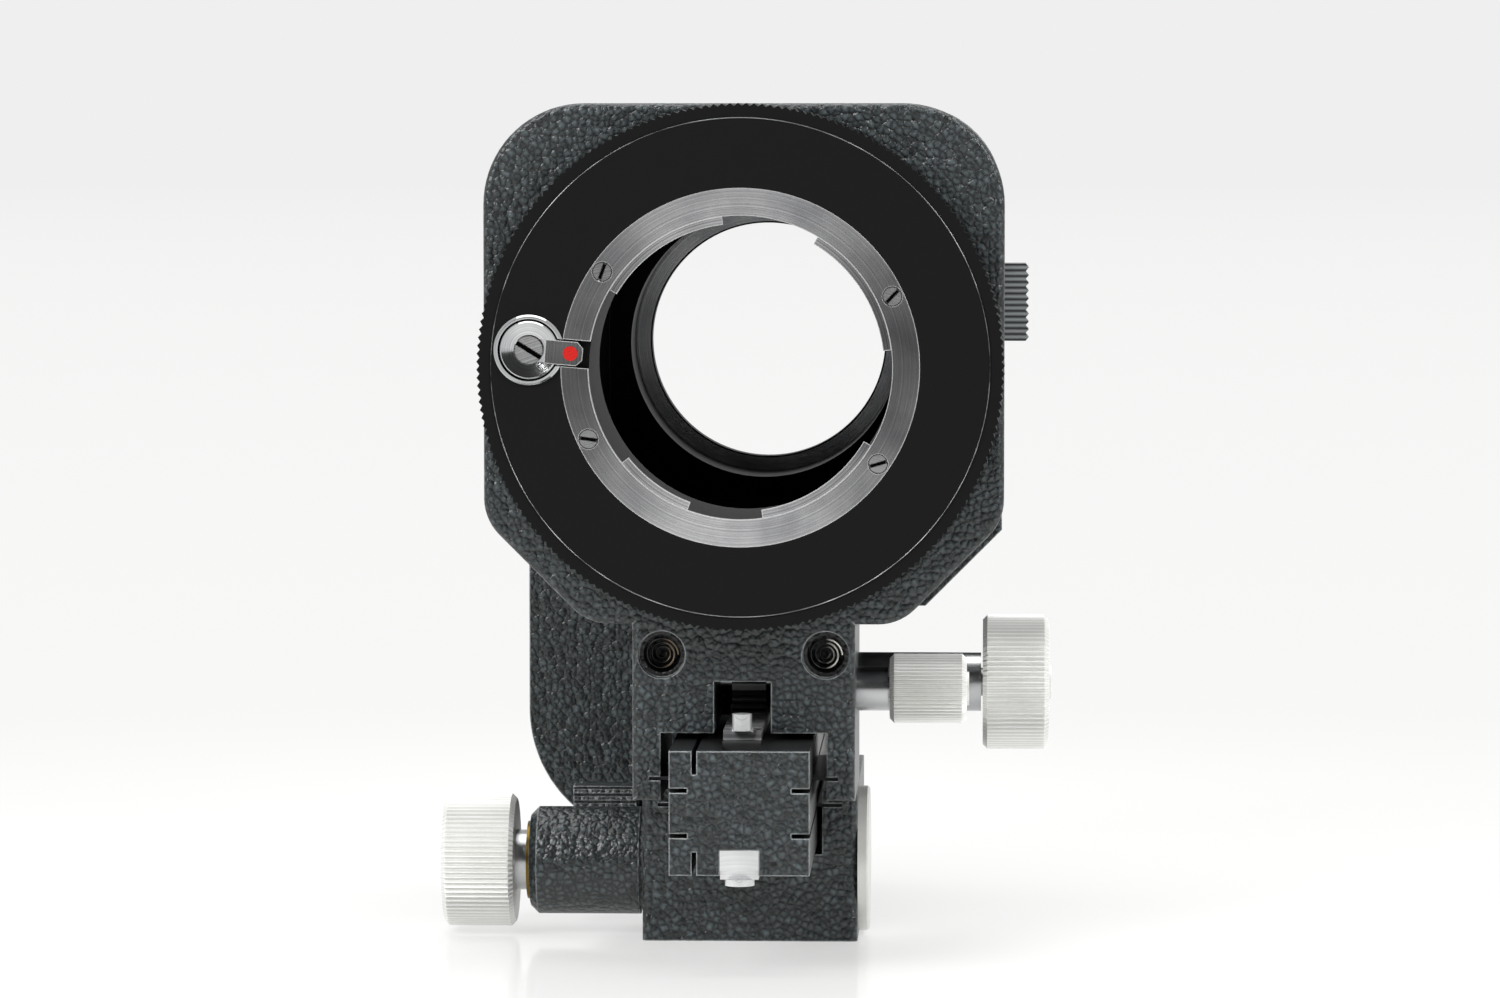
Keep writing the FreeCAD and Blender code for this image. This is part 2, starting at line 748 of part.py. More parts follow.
def drive_knob(name, radius, count, face, end, axis_y, axis_z, bore, holes):
    """A fluted knob with its inner face towards the bench and a small boss on its outer face."""
    low, high = min(face, end), max(face, end)
    out = 1 if end > face else -1
    shape = fluted_knob(radius, size("flute_deep"), count, low, high, size("knob_chamfer"))
    way = FreeCAD.Vector(out, 0, 0)
    boss = Part.makeCylinder(size("knob_boss_radius"), size("knob_boss_proud") + 1,
                             FreeCAD.Vector(end - out, 0, 0), way)
    shape = shape.fuse(boss).cut(Part.makeCylinder(
        bore, size("knob_bore_deep"), FreeCAD.Vector(face, 0, 0), way))
    for side in holes:
        place = FreeCAD.Vector(face, side * size("knob_hole_spread"), 0)
        shape = shape.cut(Part.makeCylinder(size("knob_hole_radius"), size("knob_hole_deep"), place, way))
    shape.translate(FreeCAD.Vector(0, axis_y, axis_z))
    return made(name, shape)


node("focus_knob", drive_knob(
    "FocusKnob", size("knob_radius"), int(size("knob_flutes")), size("focus_knob_face"),
    size("focus_knob_end"), size("focus_axis_y"), size("focus_axis_z"), size("knob_hub_radius"),
    (-1, 1)))

# Lock lever behind the barrel, with its clamp screw
lever_grip = new_body("LeverGrip")
ridges = int((size("lever_grip_top") - size("lever_grip_low")) / size("lever_ridge") / 2)
serrations = []
for n in range(2 * ridges):
    inset = "lever_ridge_deep" if n % 2 else "0"
    serrations.append((f"lever_grip_front + {inset}", f"lever_grip_top - {n} * lever_ridge"))
pad(lever_grip, "YZ_Plane", [serrations + [
    ("lever_grip_front + lever_grip_thick", "lever_grip_low"),
    ("lever_grip_front + lever_grip_thick", "lever_grip_top"),
]], "lever_grip_inner - lever_grip_wide", "lever_grip_inner")
node("base_lock_lever", fuse(
    lever_grip,
    rod("X", "lever_hub_radius", "lever_grip_inner - lever_grip_wide + 1", "-base_side - side_gap",
        lever_place)))
node("base_lock_screw", rod("X", "lever_screw_radius", "-base_side - side_gap", "-rail_side - side_gap",
                            lever_place))

# Rail with its slits, end plate, racks and stop screws
rail_slits = []
for level in ("upper_slit", "lower_slit"):
    levels = (f"{level} - slit_tall / 2", f"{level} + slit_tall / 2")
    rail_slits.append(("-rail_side - 1", "-rail_side + slit_deep", *levels))
    rail_slits.append(("rail_side - slit_deep", "rail_side + 1", *levels))
for low, high in (("rail_top - adjust_slit_deep", "rail_top + 1"),
                  ("rail_low - 1", "rail_low + adjust_slit_deep")):
    rail_slits.append(("adjust_slit_x - adjust_slit_wide / 2", "adjust_slit_x + adjust_slit_wide / 2",
                       low, high))
for name, front, rear in (("rail", "rail_front + rail_cap", "rear_front"),
                          ("rail_front_cap", "rail_front", "rail_front + rail_cap")):
    bar = new_body(name + "_bar")
    pad(bar, "XZ_Plane", [rectangle("-rail_side", "rail_side", "rail_low", "rail_top")], front, rear)
    pocket(bar, "XZ_Plane", [rectangle(*slit) for slit in rail_slits], f"{front} - 1", f"{rear} + 1")
    lower_groove = ("-rack_side", "rack_side", "rail_low - 1", "lower_rack_bed")
    upper_groove = ("-rack_side", "rack_side", "upper_rack_bed", "rail_top + 1")
    grooves = [lower_groove, upper_groove] if name == "rail" else [lower_groove]
    for groove in grooves:
        pocket(bar, "XZ_Plane", [rectangle(*groove)], f"{front} - 1", f"{rear} + 1")
    if name == "rail":
        bar = cut(bar, *[
            rod("Y", "rail_screw_shank", "rear_front - rail_screw_bite - 1", "rear_front + 1",
                (f"{sign}rail_screw_x", "rail_screw_z")) for sign in ("-", "")])
    node(name, bar)
rack_front = size("rail_front")
node("upper_rack", made("UpperRack", rack(
    size("upper_module"), size("tooth_play"), size("rack_side"), size("upper_rack_front"),
    size("rack_rear"), size("upper_rack_bed"), size("upper_pitch_height"), size("extension_axis_y"))))
node("lower_rack", made("LowerRack", rack(
    size("lower_module"), size("tooth_play"), size("rack_side"), rack_front,
    size("rack_rear"), size("lower_rack_bed"), size("lower_pitch_height"),
    size("focus_axis_y") + math.pi * size("lower_module") / 2
    * (int(size("lower_teeth")) % 2 == 1))))


def standing_screw(name, head, thick, place, up):
    """A slotted screw head standing on a rack's end, with its short shank."""
    screw = slotted_screw(head, thick, size("small_screw_shank"), thick, False)
    screw.rotate(FreeCAD.Vector(), FreeCAD.Vector(1, 0, 0), -90 if up else 90)
    screw.translate(FreeCAD.Vector(*place))
    return made(name, screw)


stop_top = size("upper_rack_tip") + size("stop_screw_tall")
node("rack_stop_screw", standing_screw(
    "StopScrew", size("stop_screw_radius"), size("stop_screw_tall"),
    (0, size("upper_rack_front") + size("stop_screw_radius"), stop_top), True))
end_low = size("lower_rack_tip") - size("end_screw_thick")
node("rack_end_screw", standing_screw(
    "EndScrew", size("end_screw_radius"), size("end_screw_thick"),
    (0, rack_front + size("end_screw_radius"), end_low), False))

# Front standard: plate and foot in one casting
plate = new_body("FrontPlate")
pad(plate, "XZ_Plane", [[
    ("-plate_side", "plate_top"),
    ("-plate_side", "plate_low + plate_cut"), ("-plate_side + plate_cut", "plate_low"),
    ("-foot_side", "plate_low"), ("-foot_side", "foot_low"), ("foot_side", "foot_low"),
    ("foot_side", "plate_low"), ("plate_side - plate_cut", "plate_low"),
    ("plate_side", "plate_low + plate_cut"), ("plate_side", "plate_top"),
]], "plate_front", "plate_rear")
pad(plate, "XZ_Plane", [rectangle("-foot_side", "foot_side", "foot_low", "foot_top")],
    "plate_rear", "foot_rear")
top = size("plate_top")
low = size("plate_low")


def at_height(edge, height):
    return near(edge.BoundBox.ZMin, height) and near(edge.BoundBox.ZMax, height)


dress(plate, "Fillet", "plate_corner", lambda e: along(e, "Y") and at_height(e, top))
dress(plate, "Fillet", "plate_cut_round", lambda e: along(e, "Y") and at_height(e, low + size("plate_cut")))
dress(plate, "Fillet", "plate_cut_round", lambda e: (
    along(e, "Y") and at_height(e, low) and abs(e.BoundBox.XMin) > size("foot_side") + 1))
dress(plate, "Fillet", "plate_edge", lambda e: lies(e, "y", size("plate_front")))
drive_place = ("extension_axis_y", "drive_height")
lock_place = ("lock_axis_y", "drive_height")
pinion_reach = "upper_pitch_radius + upper_module + side_gap"
sockets = []
for side in ("-socket_x", "socket_x"):
    sockets.append(rod("Y", "socket_counterbore", "plate_front - 1",
                       "plate_front + socket_counterbore_deep", (side, "socket_z")))
    sockets.append(rod("Y", "socket_thread_radius", "plate_front", "plate_front + socket_deep",
                       (side, "socket_z")))
front_slots = [
    box((a, b), ("plate_front - 1", "foot_rear + 1"),
        ("upper_slit - blade_thick / 2 - seat_gap", "upper_slit + blade_thick / 2 + seat_gap"))
    for a, b in (("-blade_root", "-foot_channel_side + 1"), ("foot_channel_side - 1", "blade_root"))
]
node("front_standard", cut(
    plate, *sockets, *front_slots,
    rod("Y", "lens_neck_radius + running_gap", "plate_front - 1", "plate_rear + 1", ("0", "axis_height")),
    rod("Y", "retainer_radius + side_gap", "plate_rear - retainer_recess", "plate_rear + 1",
        ("0", "axis_height")),
    box(("-foot_channel_side", "foot_channel_side"), ("plate_front - 1", "foot_rear + 1"),
        ("foot_low - 1", "foot_channel_top")),
    box(("recess_left", "recess_right"), ("plate_front - 1", "extension_axis_y"),
        ("foot_channel_top - 1", "recess_top")),
    box(("-rack_side - side_gap", "rack_side + side_gap"), ("plate_front - 1", "foot_rear + 1"),
        ("foot_channel_top - 1", "upper_rack_tip + side_gap")),
    rod("X", pinion_reach, "recess_left", "recess_right", drive_place),
    rod("X", "extension_shaft_radius + running_gap", "recess_left - 6", "foot_side + 1", drive_place),
    rod("X", "lock_screw_radius + running_gap", "lock_screw_tip - brake_radius", "foot_side + 1",
        lock_place),
    rod("Z", "brake_radius + seat_gap", "foot_channel_top - 1", "drive_height + lock_screw_radius",
        ("brake_x + brake_radius", "lock_axis_y")),
))
node("brake_plug", rod("Z", "brake_radius", "rail_top + side_gap",
                       "drive_height - lock_screw_radius - side_gap",
                       ("brake_x + brake_radius", "lock_axis_y")))
node("extension_sleeve", ring("ExtensionSleeve", "extension_sleeve_radius",
                              "extension_shaft_radius + running_gap", "foot_side", "sleeve_end",
                              drive_place, "X"))
node("lock_sleeve", ring("LockSleeve", "lock_sleeve_radius", "lock_screw_radius + running_gap",
                         "foot_side", "lock_sleeve_end", lock_place, "X"))
node("extension_shaft", rod("X", "extension_shaft_radius", "recess_left - 5",
                            "extension_knob_face + knob_bore_deep", drive_place))
node("extension_pinion", made("ExtensionPinion", pinion(
    size("upper_module"), int(size("upper_teeth")), size("tooth_play"),
    -size("rack_side") + size("side_gap"), size("rack_side") - size("side_gap"),
    size("extension_shaft_radius"),
    size("extension_axis_y"), size("drive_height"))))
node("extension_knob", drive_knob(
    "ExtensionKnob", size("knob_radius"), int(size("knob_flutes")), size("extension_knob_face"),
    size("extension_knob_end"), size("extension_axis_y"), size("drive_height"),
    size("extension_shaft_radius"), ()))
node("lock_screw", rod("X", "lock_screw_radius", "lock_screw_tip", "lock_knob_face + knob_bore_deep",
                       lock_place))
node("lock_knob", drive_knob(
    "LockKnob", size("lock_knob_radius"), int(size("lock_knob_flutes")), size("lock_knob_face"),
    size("lock_knob_face") + size("lock_knob_length"), size("lock_axis_y"), size("drive_height"),
    size("lock_screw_radius"), ()))

# Lens ring and its bayonet, modelled about the optical axis
band = Part.Face(polygon(fluted_points(
    size("lens_ring_radius"), size("lens_knurl_deep"), int(size("lens_ring_knurls")),
    size("lens_ring_front") + size("lens_band_step"), "Y")))
band_wide = size("lens_ring_rear") - size("lens_ring_front") - size("lens_band_step")
lens_band = made("LensBand", band.extrude(FreeCAD.Vector(0, band_wide, 0)).cut(Part.makeCylinder(
    size("lens_band_radius") - 2, 2 * band_wide, FreeCAD.Vector(0, size("lens_ring_front") - 1, 0),
    FreeCAD.Vector(0, 1, 0))))
axis_place = ("0", "0")
button_place = ("lock_button_x", "0")
lens_angles = (30, 150, 210, 330)
tongue_side = "tongue_wide / 2"
screw_holes = made("ScrewHoles", on_circle(
    Part.makeCylinder(size("small_screw_shank"), size("small_screw_length") + 1,
                      FreeCAD.Vector(), FreeCAD.Vector(0, 1, 0)),
    size("lens_screw_circle"), lens_angles, size("lens_bayonet_rear") - 1))
tongue_sides = (f"-({tongue_side}) - side_gap", f"{tongue_side} + side_gap")
tongue_slot = box(("lock_button_x", "-lens_throat_radius + 1"),
                  ("lens_ring_front - 1", "tongue_rear + lock_travel + side_gap"), tongue_sides)
node("lens_ring", placed(cut(
    fuse(lens_band, turned("LensCore", "Y", [
        ("lens_bayonet_rear", "lens_throat_radius"),
        ("lens_bayonet_rear", "lens_bayonet_radius + seat_gap"),
        ("lens_ring_front", "lens_bayonet_radius + seat_gap"),
        ("lens_ring_front", "lens_band_radius"), ("lens_ring_rear", "lens_band_radius"),
        ("lens_ring_rear", "lens_neck_radius"), ("lens_neck_end", "lens_neck_radius"),
        ("lens_neck_end", "lens_throat_radius"),
    ])),
    rod("Y", "bezel_radius", "lens_ring_front - 1", "well_floor", button_place),
    tongue_slot, screw_holes,
), "lens_ring_turn"))
node("lens_retainer", placed(ring(
    "LensRetainer", "retainer_radius", "lens_neck_radius", "retainer_front", "lens_neck_end")))
LENS_LUG_SPANS = ((64.2, 116.8), (154.0, 206.4), (254.5, 285.4), (334.2, 385.1))  # degrees
lugs = []
for start, end in LENS_LUG_SPANS:
    lug = rod("Y", "lens_lug_step", "lens_bayonet_front + lens_lug_sink", "lens_bayonet_rear", axis_place)
    lug.Angle = end - start
    lug.Placement = FreeCAD.Placement(lug.Placement.Base, FreeCAD.Rotation(
        FreeCAD.Vector(0, 1, 0), -start).multiply(TURNS["Y"]))
    lugs.append(lug)
bayonet_heads = made("BayonetHeads", on_circle(
    Part.makeCone(size("small_screw_head") + size("seat_gap"), size("small_screw_shank"),
                  size("small_screw_sink"), FreeCAD.Vector(), FreeCAD.Vector(0, 1, 0)),
    size("lens_screw_circle"), lens_angles, size("lens_bayonet_front")))
node("lens_bayonet", placed(cut(
    fuse(ring("BayonetRing", "lens_bayonet_radius", "lens_throat_radius", "lens_bayonet_front",
              "lens_bayonet_rear"), *lugs),
    rod("Y", "lens_lug_radius", "lens_bayonet_front - 1", "lens_bayonet_rear + 1", axis_place),
    box(("-lens_bayonet_radius - 1", "-lens_throat_radius + 0.4"),
        ("lens_bayonet_front - 1", "lens_bayonet_rear + 1"), tongue_sides),
    bayonet_heads, screw_holes,
), "lens_ring_turn"))
small_screw = slotted_screw(size("small_screw_head"), size("small_screw_sink"), size("small_screw_shank"),
                            size("small_screw_length"), True)
node("lens_screws", placed(made("LensScrews", on_circle(
    small_screw, size("lens_screw_circle"), lens_angles, size("lens_bayonet_front"))), "lens_ring_turn"))

# Lens lock: bezel, button with a tongue, their screw and the red index dot
node("lock_bezel", placed(cut(
    turned("Bezel", "Y", [
        ("well_floor", "bezel_inner"), ("well_floor", "bezel_radius"),
        ("lens_ring_front - bezel_proud + lock_button_edge", "bezel_radius"),
        ("lens_ring_front - bezel_proud", "bezel_radius - lock_button_edge"),
        ("lens_ring_front - bezel_proud", "bezel_inner"),
    ], button_place),
    box(("lock_button_x", "-lens_throat_radius"),
        ("lens_ring_front - bezel_proud - 1", "tongue_rear + lock_travel + side_gap"), tongue_sides),
), "lens_ring_turn"))
node("lock_button", placed(cut(
    turned("Button", "Y", [
        ("button_front + lock_button_dish", "0"),
        ("button_front + lock_button_dish * 0.75", "lock_button_radius * 0.5"),
        ("button_front", "lock_button_radius - lock_button_edge"),
        ("button_front + lock_button_edge", "lock_button_radius"),
        ("button_rear", "lock_button_radius"), ("button_rear", "0"),
    ], button_place),
    rod("Y", "lock_button_screw", "button_front - 1", "button_front + lock_button_dish + 0.6", button_place),
    rod("Y", "small_screw_shank", "button_front", "button_front + 3.5", button_place),
    box(("lock_button_x", "lock_button_x + lock_button_radius + 1"), ("button_front - 1", "tongue_rear"),
        (f"-({tongue_side})", tongue_side)),
), "lens_ring_turn"))
tongue = new_body("Tongue")
pad(tongue, "XZ_Plane", [[
    ("lock_button_x + lock_button_screw + side_gap", f"-({tongue_side})"),
    ("tongue_tip_x - 1", f"-({tongue_side})"), ("tongue_tip_x", f"-({tongue_side}) + 1"),
    ("tongue_tip_x", f"{tongue_side} - 1"), ("tongue_tip_x - 1", tongue_side),
    ("lock_button_x + lock_button_screw + side_gap", tongue_side),
]], "tongue_front", "tongue_rear")
node("lock_tongue", placed(tongue, "lens_ring_turn"))
button_screw = slotted_screw(size("lock_button_screw"), size("lock_button_dish") + 0.4,
                             size("small_screw_shank"), 3.2, False)
button_screw.rotate(FreeCAD.Vector(), FreeCAD.Vector(0, 1, 0), 27)
button_screw.translate(FreeCAD.Vector(size("lock_button_x"), size("button_front") + 0.2, 0))
node("lock_button_screw", placed(made("ButtonScrew", button_screw), "lens_ring_turn"))
node("index_dot", placed(rod("Y", "index_dot_radius", "tongue_front - index_dot_thick", "tongue_front",
                             ("index_dot_x", "0")), "lens_ring_turn"))
node("lock_spring", placed(ring(
    "LockSpring", "lock_spring_radius", "lock_spring_radius - lock_spring_wire",
    "button_rear + running_gap", "well_floor - running_gap", button_place), "lens_ring_turn"))


# Bellows: folded octagons between two frames
def fold_points(half, corner, place):
    """An octagon round the optical axis, square with its corners cut."""
    middle = size("axis_height")
    long, short = half, half - corner
    spots = [(long, short), (short, long), (-short, long), (-long, short),
             (-long, -short), (-short, -long), (short, -long), (long, -short)]
    return [FreeCAD.Vector(x, place, middle + z) for x, z in spots]


def fold_rings(inset, pleats, front, rear):
    """Octagons from one frame to the other, alternating between valley and crest."""
    rings = []
    for n in range(2 * pleats + 1):
        depth = inset + (0 if n % 2 else size("bellows_fold"))
        place = front + (rear - front) * n / (2 * pleats)
        rings.append(fold_points(size("bellows_half") - depth, size("bellows_corner"), place))
    return rings


bellows_span = (int(size("bellows_pleats")), size("plate_rear") + size("bellows_frame_thick"),
                size("rear_front") - size("bellows_frame_thick"))
outer_rings = fold_rings(0, *bellows_span)
inner_rings = fold_rings(size("bellows_wall"), *bellows_span)
hems = [face for n in (0, -1) for face in skinned([outer_rings[n], inner_rings[n]])]
node("bellows", made("Bellows", Part.Solid(Part.Shell(
    skinned(outer_rings) + skinned(inner_rings) + hems))))
for name, front, rear in (
    ("bellows_front_frame", "plate_rear", "plate_rear + bellows_frame_thick"),
    ("bellows_rear_frame", "rear_front - bellows_frame_thick", "rear_front"),
):
    frame = new_body(name + "_plate")
    pad(frame, "XZ_Plane", [
        rectangle("-bellows_frame_half", "bellows_frame_half",
                  "axis_height - bellows_frame_half", "axis_height + bellows_frame_half"),
        rectangle("-bellows_inner", "bellows_inner",
                  "axis_height - bellows_inner", "axis_height + bellows_inner"),
    ], front, rear)
    dress(frame, "Fillet", "bellows_frame_corner", lambda e: (
        along(e, "Y") and near(abs(e.BoundBox.XMin), size("bellows_frame_half"))))
    node(name, frame)

# Rear standard: plate and leg in one casting
rear = new_body("RearPlate")
pad(rear, "XZ_Plane", [[
    ("-plate_side", "plate_top"), ("-plate_side", "leg_low"),
    ("leg_right", "leg_low"), ("leg_right", "rear_waist"),
    ("plate_side - rear_cut", "rear_waist"), ("plate_side", "rear_waist + rear_cut"),
    ("plate_side", "plate_top"),
]], "rear_front", "rear_back")
dress(rear, "Fillet", "plate_corner", lambda e: along(e, "Y") and at_height(e, top))
dress(rear, "Fillet", "leg_round", lambda e: (
    along(e, "Y") and at_height(e, size("leg_low")) and near(e.BoundBox.XMin, -size("plate_side"))))
dress(rear, "Fillet", "plate_edge", lambda e: lies(e, "y", size("rear_back")))
rail_screw_places = [(f"{sign}rail_screw_x", "rail_screw_z") for sign in ("-", "")]
rail_screw_bores = []
for spot in rail_screw_places:
    rail_screw_bores.append(rod("Y", "rail_screw_head + seat_gap", 
                                "rear_back - rail_screw_sink - rail_screw_head_thick",
                                "rear_back + 1", spot))
    rail_screw_bores.append(rod("Y", "rail_screw_shank + seat_gap", "rear_front - 1", "rear_back", spot))
node("rear_standard", cut(
    rear, *rail_screw_bores,
    rod("Y", "camera_neck_radius + running_gap", "rear_front - 1", "rear_back + 1", ("0", "axis_height")),
    rod("Y", "retainer_radius + side_gap", "rear_front - 1", "rear_front + retainer_recess",
        ("0", "axis_height")),
    box(("release_well", "plate_side + 1"),
        ("release_front - side_gap", "release_front + release_thick + side_gap"),
        ("release_low - side_gap", "release_low + release_tall + side_gap")),
))
rail_screw = slotted_screw(
    size("rail_screw_head"), size("rail_screw_head_thick"), size("rail_screw_shank"),
    size("rear_thick") - size("rail_screw_sink") + size("rail_screw_bite"), False)
rail_screw.rotate(FreeCAD.Vector(), FreeCAD.Vector(0, 0, 1), 180)
rail_screws = []
for sign in (-1, 1):
    copy = rail_screw.copy()
    copy.translate(FreeCAD.Vector(sign * size("rail_screw_x"), 
                                  size("rear_back") - size("rail_screw_sink"), size("rail_screw_z")))
    rail_screws.append(copy)
node("rail_screws", made("RailScrews", Part.makeCompound(rail_screws)))

# Camera ring, its retainer and bayonet, turning in the rear standard
camera_place = ("0", "axis_height")
node("camera_ring", turned("CameraRing", "Y", [
    ("camera_neck_front", "camera_throat_radius + camera_ring_wall"),
    ("camera_neck_front", "camera_neck_radius"),
    ("camera_flange_front", "camera_neck_radius"), ("camera_flange_front", "camera_flange_radius"),
    ("camera_flange_rear - camera_ring_edge", "camera_flange_radius"),
    ("camera_flange_rear", "camera_flange_radius - camera_ring_edge"),
    ("camera_flange_rear", "camera_throat_radius + camera_ring_wall"),
], camera_place))
node("camera_retainer", ring("CameraRetainer", "retainer_radius", "camera_neck_radius",
                             "camera_neck_front", "camera_neck_front + retainer_thick", camera_place))
camera_flange = turned("CameraFlange", "Y", [
    ("camera_flange_rear", "camera_throat_radius"), ("camera_flange_rear", "camera_plate_radius"),
    ("camera_plate_rear", "camera_plate_radius"), ("camera_plate_rear", "camera_barrel_radius"),
    ("camera_barrel_end", "camera_barrel_radius"), ("camera_barrel_end", "camera_throat_radius"),
], axis_place)
camera_lugs = []
for start in (60, 180, 300):
    lug = rod("Y", "camera_lug_radius", "camera_barrel_end - camera_lug_thick", "camera_barrel_end",
              axis_place)
    lug.Angle = size("camera_lug_angle")
    lug.Placement = FreeCAD.Placement(lug.Placement.Base, FreeCAD.Rotation(
        FreeCAD.Vector(0, 1, 0), -start).multiply(TURNS["Y"]))
    camera_lugs.append(lug)
camera_angles = (45, 135, 225, 315)
camera_heads = made("CameraHeads", on_circle(
    Part.makeCone(size("small_screw_shank"), size("small_screw_head") + size("seat_gap"),
                  size("small_screw_sink"), FreeCAD.Vector(0, -size("small_screw_sink"), 0),
                  FreeCAD.Vector(0, 1, 0)),
    size("camera_screw_circle"), camera_angles, size("camera_plate_rear")))
camera_holes = made("CameraHoles", on_circle(
    Part.makeCylinder(size("small_screw_shank"), 3, FreeCAD.Vector(0, -2.5, 0), FreeCAD.Vector(0, 1, 0)),
    size("camera_screw_circle"), camera_angles, size("camera_plate_rear")))
node("camera_bayonet", placed(cut(
    fuse(camera_flange, *camera_lugs),
    rod("Y", "camera_throat_radius", "camera_flange_rear", "camera_barrel_end + 1", axis_place),
    camera_heads, camera_holes,
)))
camera_screw = slotted_screw(size("small_screw_head"), size("small_screw_sink"), size("small_screw_shank"),
                             size("camera_plate_thick"), True)
camera_screw.rotate(FreeCAD.Vector(), FreeCAD.Vector(0, 0, 1), 180)
node("camera_screws", placed(made("CameraScrews", on_circle(
    camera_screw, size("camera_screw_circle"), camera_angles, size("camera_plate_rear")))))

# Rotation release: a serrated slider in the rear standard's right side
release = new_body("Release")
ridge_count = int(size("release_ridges"))
zigzag = []
for n in range(2 * ridge_count + 1):
    reach = "release_outer - release_ridge_deep" if n % 2 == 0 else "release_outer"
    zigzag.append((reach, f"release_low + release_tall * {n} / {2 * ridge_count}"))
pad(release, "XZ_Plane", [[("release_inner", "release_low")] + zigzag + [
    ("release_inner", "release_low + release_tall")]],
    "release_front", "release_front + release_thick")
node("rotation_release", release)
node("release_spring", ring(
    "ReleaseSpring", "release_spring_radius", "release_spring_radius - release_spring_wire",
    "release_well", "release_inner - running_gap",
    ("release_front + release_thick / 2", "release_low + release_tall / 2"), "X"))

# Checks and export
doc.recompute()
for thing in doc.Objects:
    if "Invalid" in thing.State or "Error" in thing.State:
        raise ValueError(f"{thing.Label} ({thing.Name}) failed: {thing.State}")
os.makedirs("parts", exist_ok=True)
for thing in PARTS:
    shape = thing.Shape
    if shape.isNull() or not shape.isValid():
        raise ValueError(f"{thing.Label} has no valid shape")
    shape.exportStep(f"parts/{thing.Label}.step")
print(f"{len(PARTS)} pieces")
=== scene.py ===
import math

import bmesh
import bpy
from mathutils import Matrix, Vector


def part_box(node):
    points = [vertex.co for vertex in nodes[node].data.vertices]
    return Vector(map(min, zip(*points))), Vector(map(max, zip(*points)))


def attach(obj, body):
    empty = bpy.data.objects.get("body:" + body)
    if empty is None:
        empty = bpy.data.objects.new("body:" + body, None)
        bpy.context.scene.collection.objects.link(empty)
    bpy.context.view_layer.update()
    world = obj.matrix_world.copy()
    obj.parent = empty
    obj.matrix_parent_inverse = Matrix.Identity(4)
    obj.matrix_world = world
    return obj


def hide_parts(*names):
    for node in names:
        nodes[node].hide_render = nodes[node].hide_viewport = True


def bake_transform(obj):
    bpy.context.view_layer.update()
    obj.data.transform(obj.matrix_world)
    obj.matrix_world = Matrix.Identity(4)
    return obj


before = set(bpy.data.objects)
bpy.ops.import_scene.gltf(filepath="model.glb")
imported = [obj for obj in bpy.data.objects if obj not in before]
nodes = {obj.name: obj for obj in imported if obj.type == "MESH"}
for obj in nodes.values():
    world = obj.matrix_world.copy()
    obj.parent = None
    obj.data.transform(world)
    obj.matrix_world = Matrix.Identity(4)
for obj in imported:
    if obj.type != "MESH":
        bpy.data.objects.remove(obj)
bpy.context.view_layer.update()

# Camera
# A long lens a metre away, a little above and to the right of the optical axis, as the photograph
# was taken. Its picture is 1500 pixels wide, and 5.88 of them are a millimetre at the lens ring.
PICTURE_WIDTH = 1500
FOCAL_PIXELS = 6000
SENSOR = 36.0
YAW = math.radians(2.21)
PITCH = math.radians(3.56)
RING_PIXEL_RIGHT = -10
RING_PIXEL_UP = 131
PIXELS_PER_MM = 5.88

ring_low, ring_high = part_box("lens_bayonet")
ring_centre = Vector((0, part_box("lens_ring")[0].y, (ring_low.z + ring_high.z) / 2))
right = Vector((math.cos(YAW), math.sin(YAW), 0))
level = Vector((-math.sin(YAW), math.cos(YAW), 0))
forward = level * math.cos(PITCH) - Vector((0, 0, math.sin(PITCH)))
up = right.cross(forward)
reach = FOCAL_PIXELS / PIXELS_PER_MM / 1000
towards_ring = forward + (right * RING_PIXEL_RIGHT + up * RING_PIXEL_UP) / FOCAL_PIXELS
camera_data = bpy.data.cameras.new("Camera")
camera_data.lens = FOCAL_PIXELS / PICTURE_WIDTH * SENSOR
camera_data.sensor_width = SENSOR
camera_data.sensor_fit = "HORIZONTAL"
camera_data.clip_end = 20
camera = bpy.data.objects.new("Camera", camera_data)
turn = Matrix((right, up, -forward)).transposed().to_4x4()
camera.matrix_world = Matrix.Translation(ring_centre - towards_ring * reach) @ turn
bpy.context.scene.collection.objects.link(camera)
bpy.context.scene.camera = camera

# Studio
# A white table runs back to white paper, and soft boxes stand above and to the sides. The side
# that the lens faces is dark, so black and chromed faces stay deep while every edge catches white.
bpy.context.scene.view_settings.view_transform = "Standard"
TABLE_COLOUR = "#F4F4F3"
HORIZON_COLOUR = "#EFEFEF"
# The table's near colour is a painted glow that fades with distance to the horizon's colour: a painted
# falloff of light.
NEAR_GLOW_COLOUR = "#FAFAF9"
FADE_CURVE = 0.5
TABLE_GLOW = 0.52
FAR_TABLE_START = 0.08
FAR_TABLE_FULL = 0.45
FAR_TABLE_END = 14.0
TABLE_SIZE = 60.0
ROOM_BRIGHT = 0.85
ROOM_DARK = 0.05
DARK_FROM = -0.55
BRIGHT_FROM = 0.05


def linear(hex_colour):
    """An sRGB hex colour as linear red, green, blue and alpha."""
    parts = [int(hex_colour[i : i + 2], 16) / 255 for i in (1, 3, 5)]
    return [c / 12.92 if c <= 0.04045 else ((c + 0.055) / 1.055) ** 2.4 for c in parts] + [1.0]


def add(tree, kind, links=(), values=(), **settings):
    """Adds a node; values sets its inputs and links joins them to other nodes' outputs."""
    made = tree.nodes.new(kind)
    for name, value in settings.items():
        setattr(made, name, value)
    for name, value in dict(values).items():
        made.inputs[name].default_value = value
    for name, (source, output) in dict(links).items():
        tree.links.new(source.outputs[output], made.inputs[name])
    return made


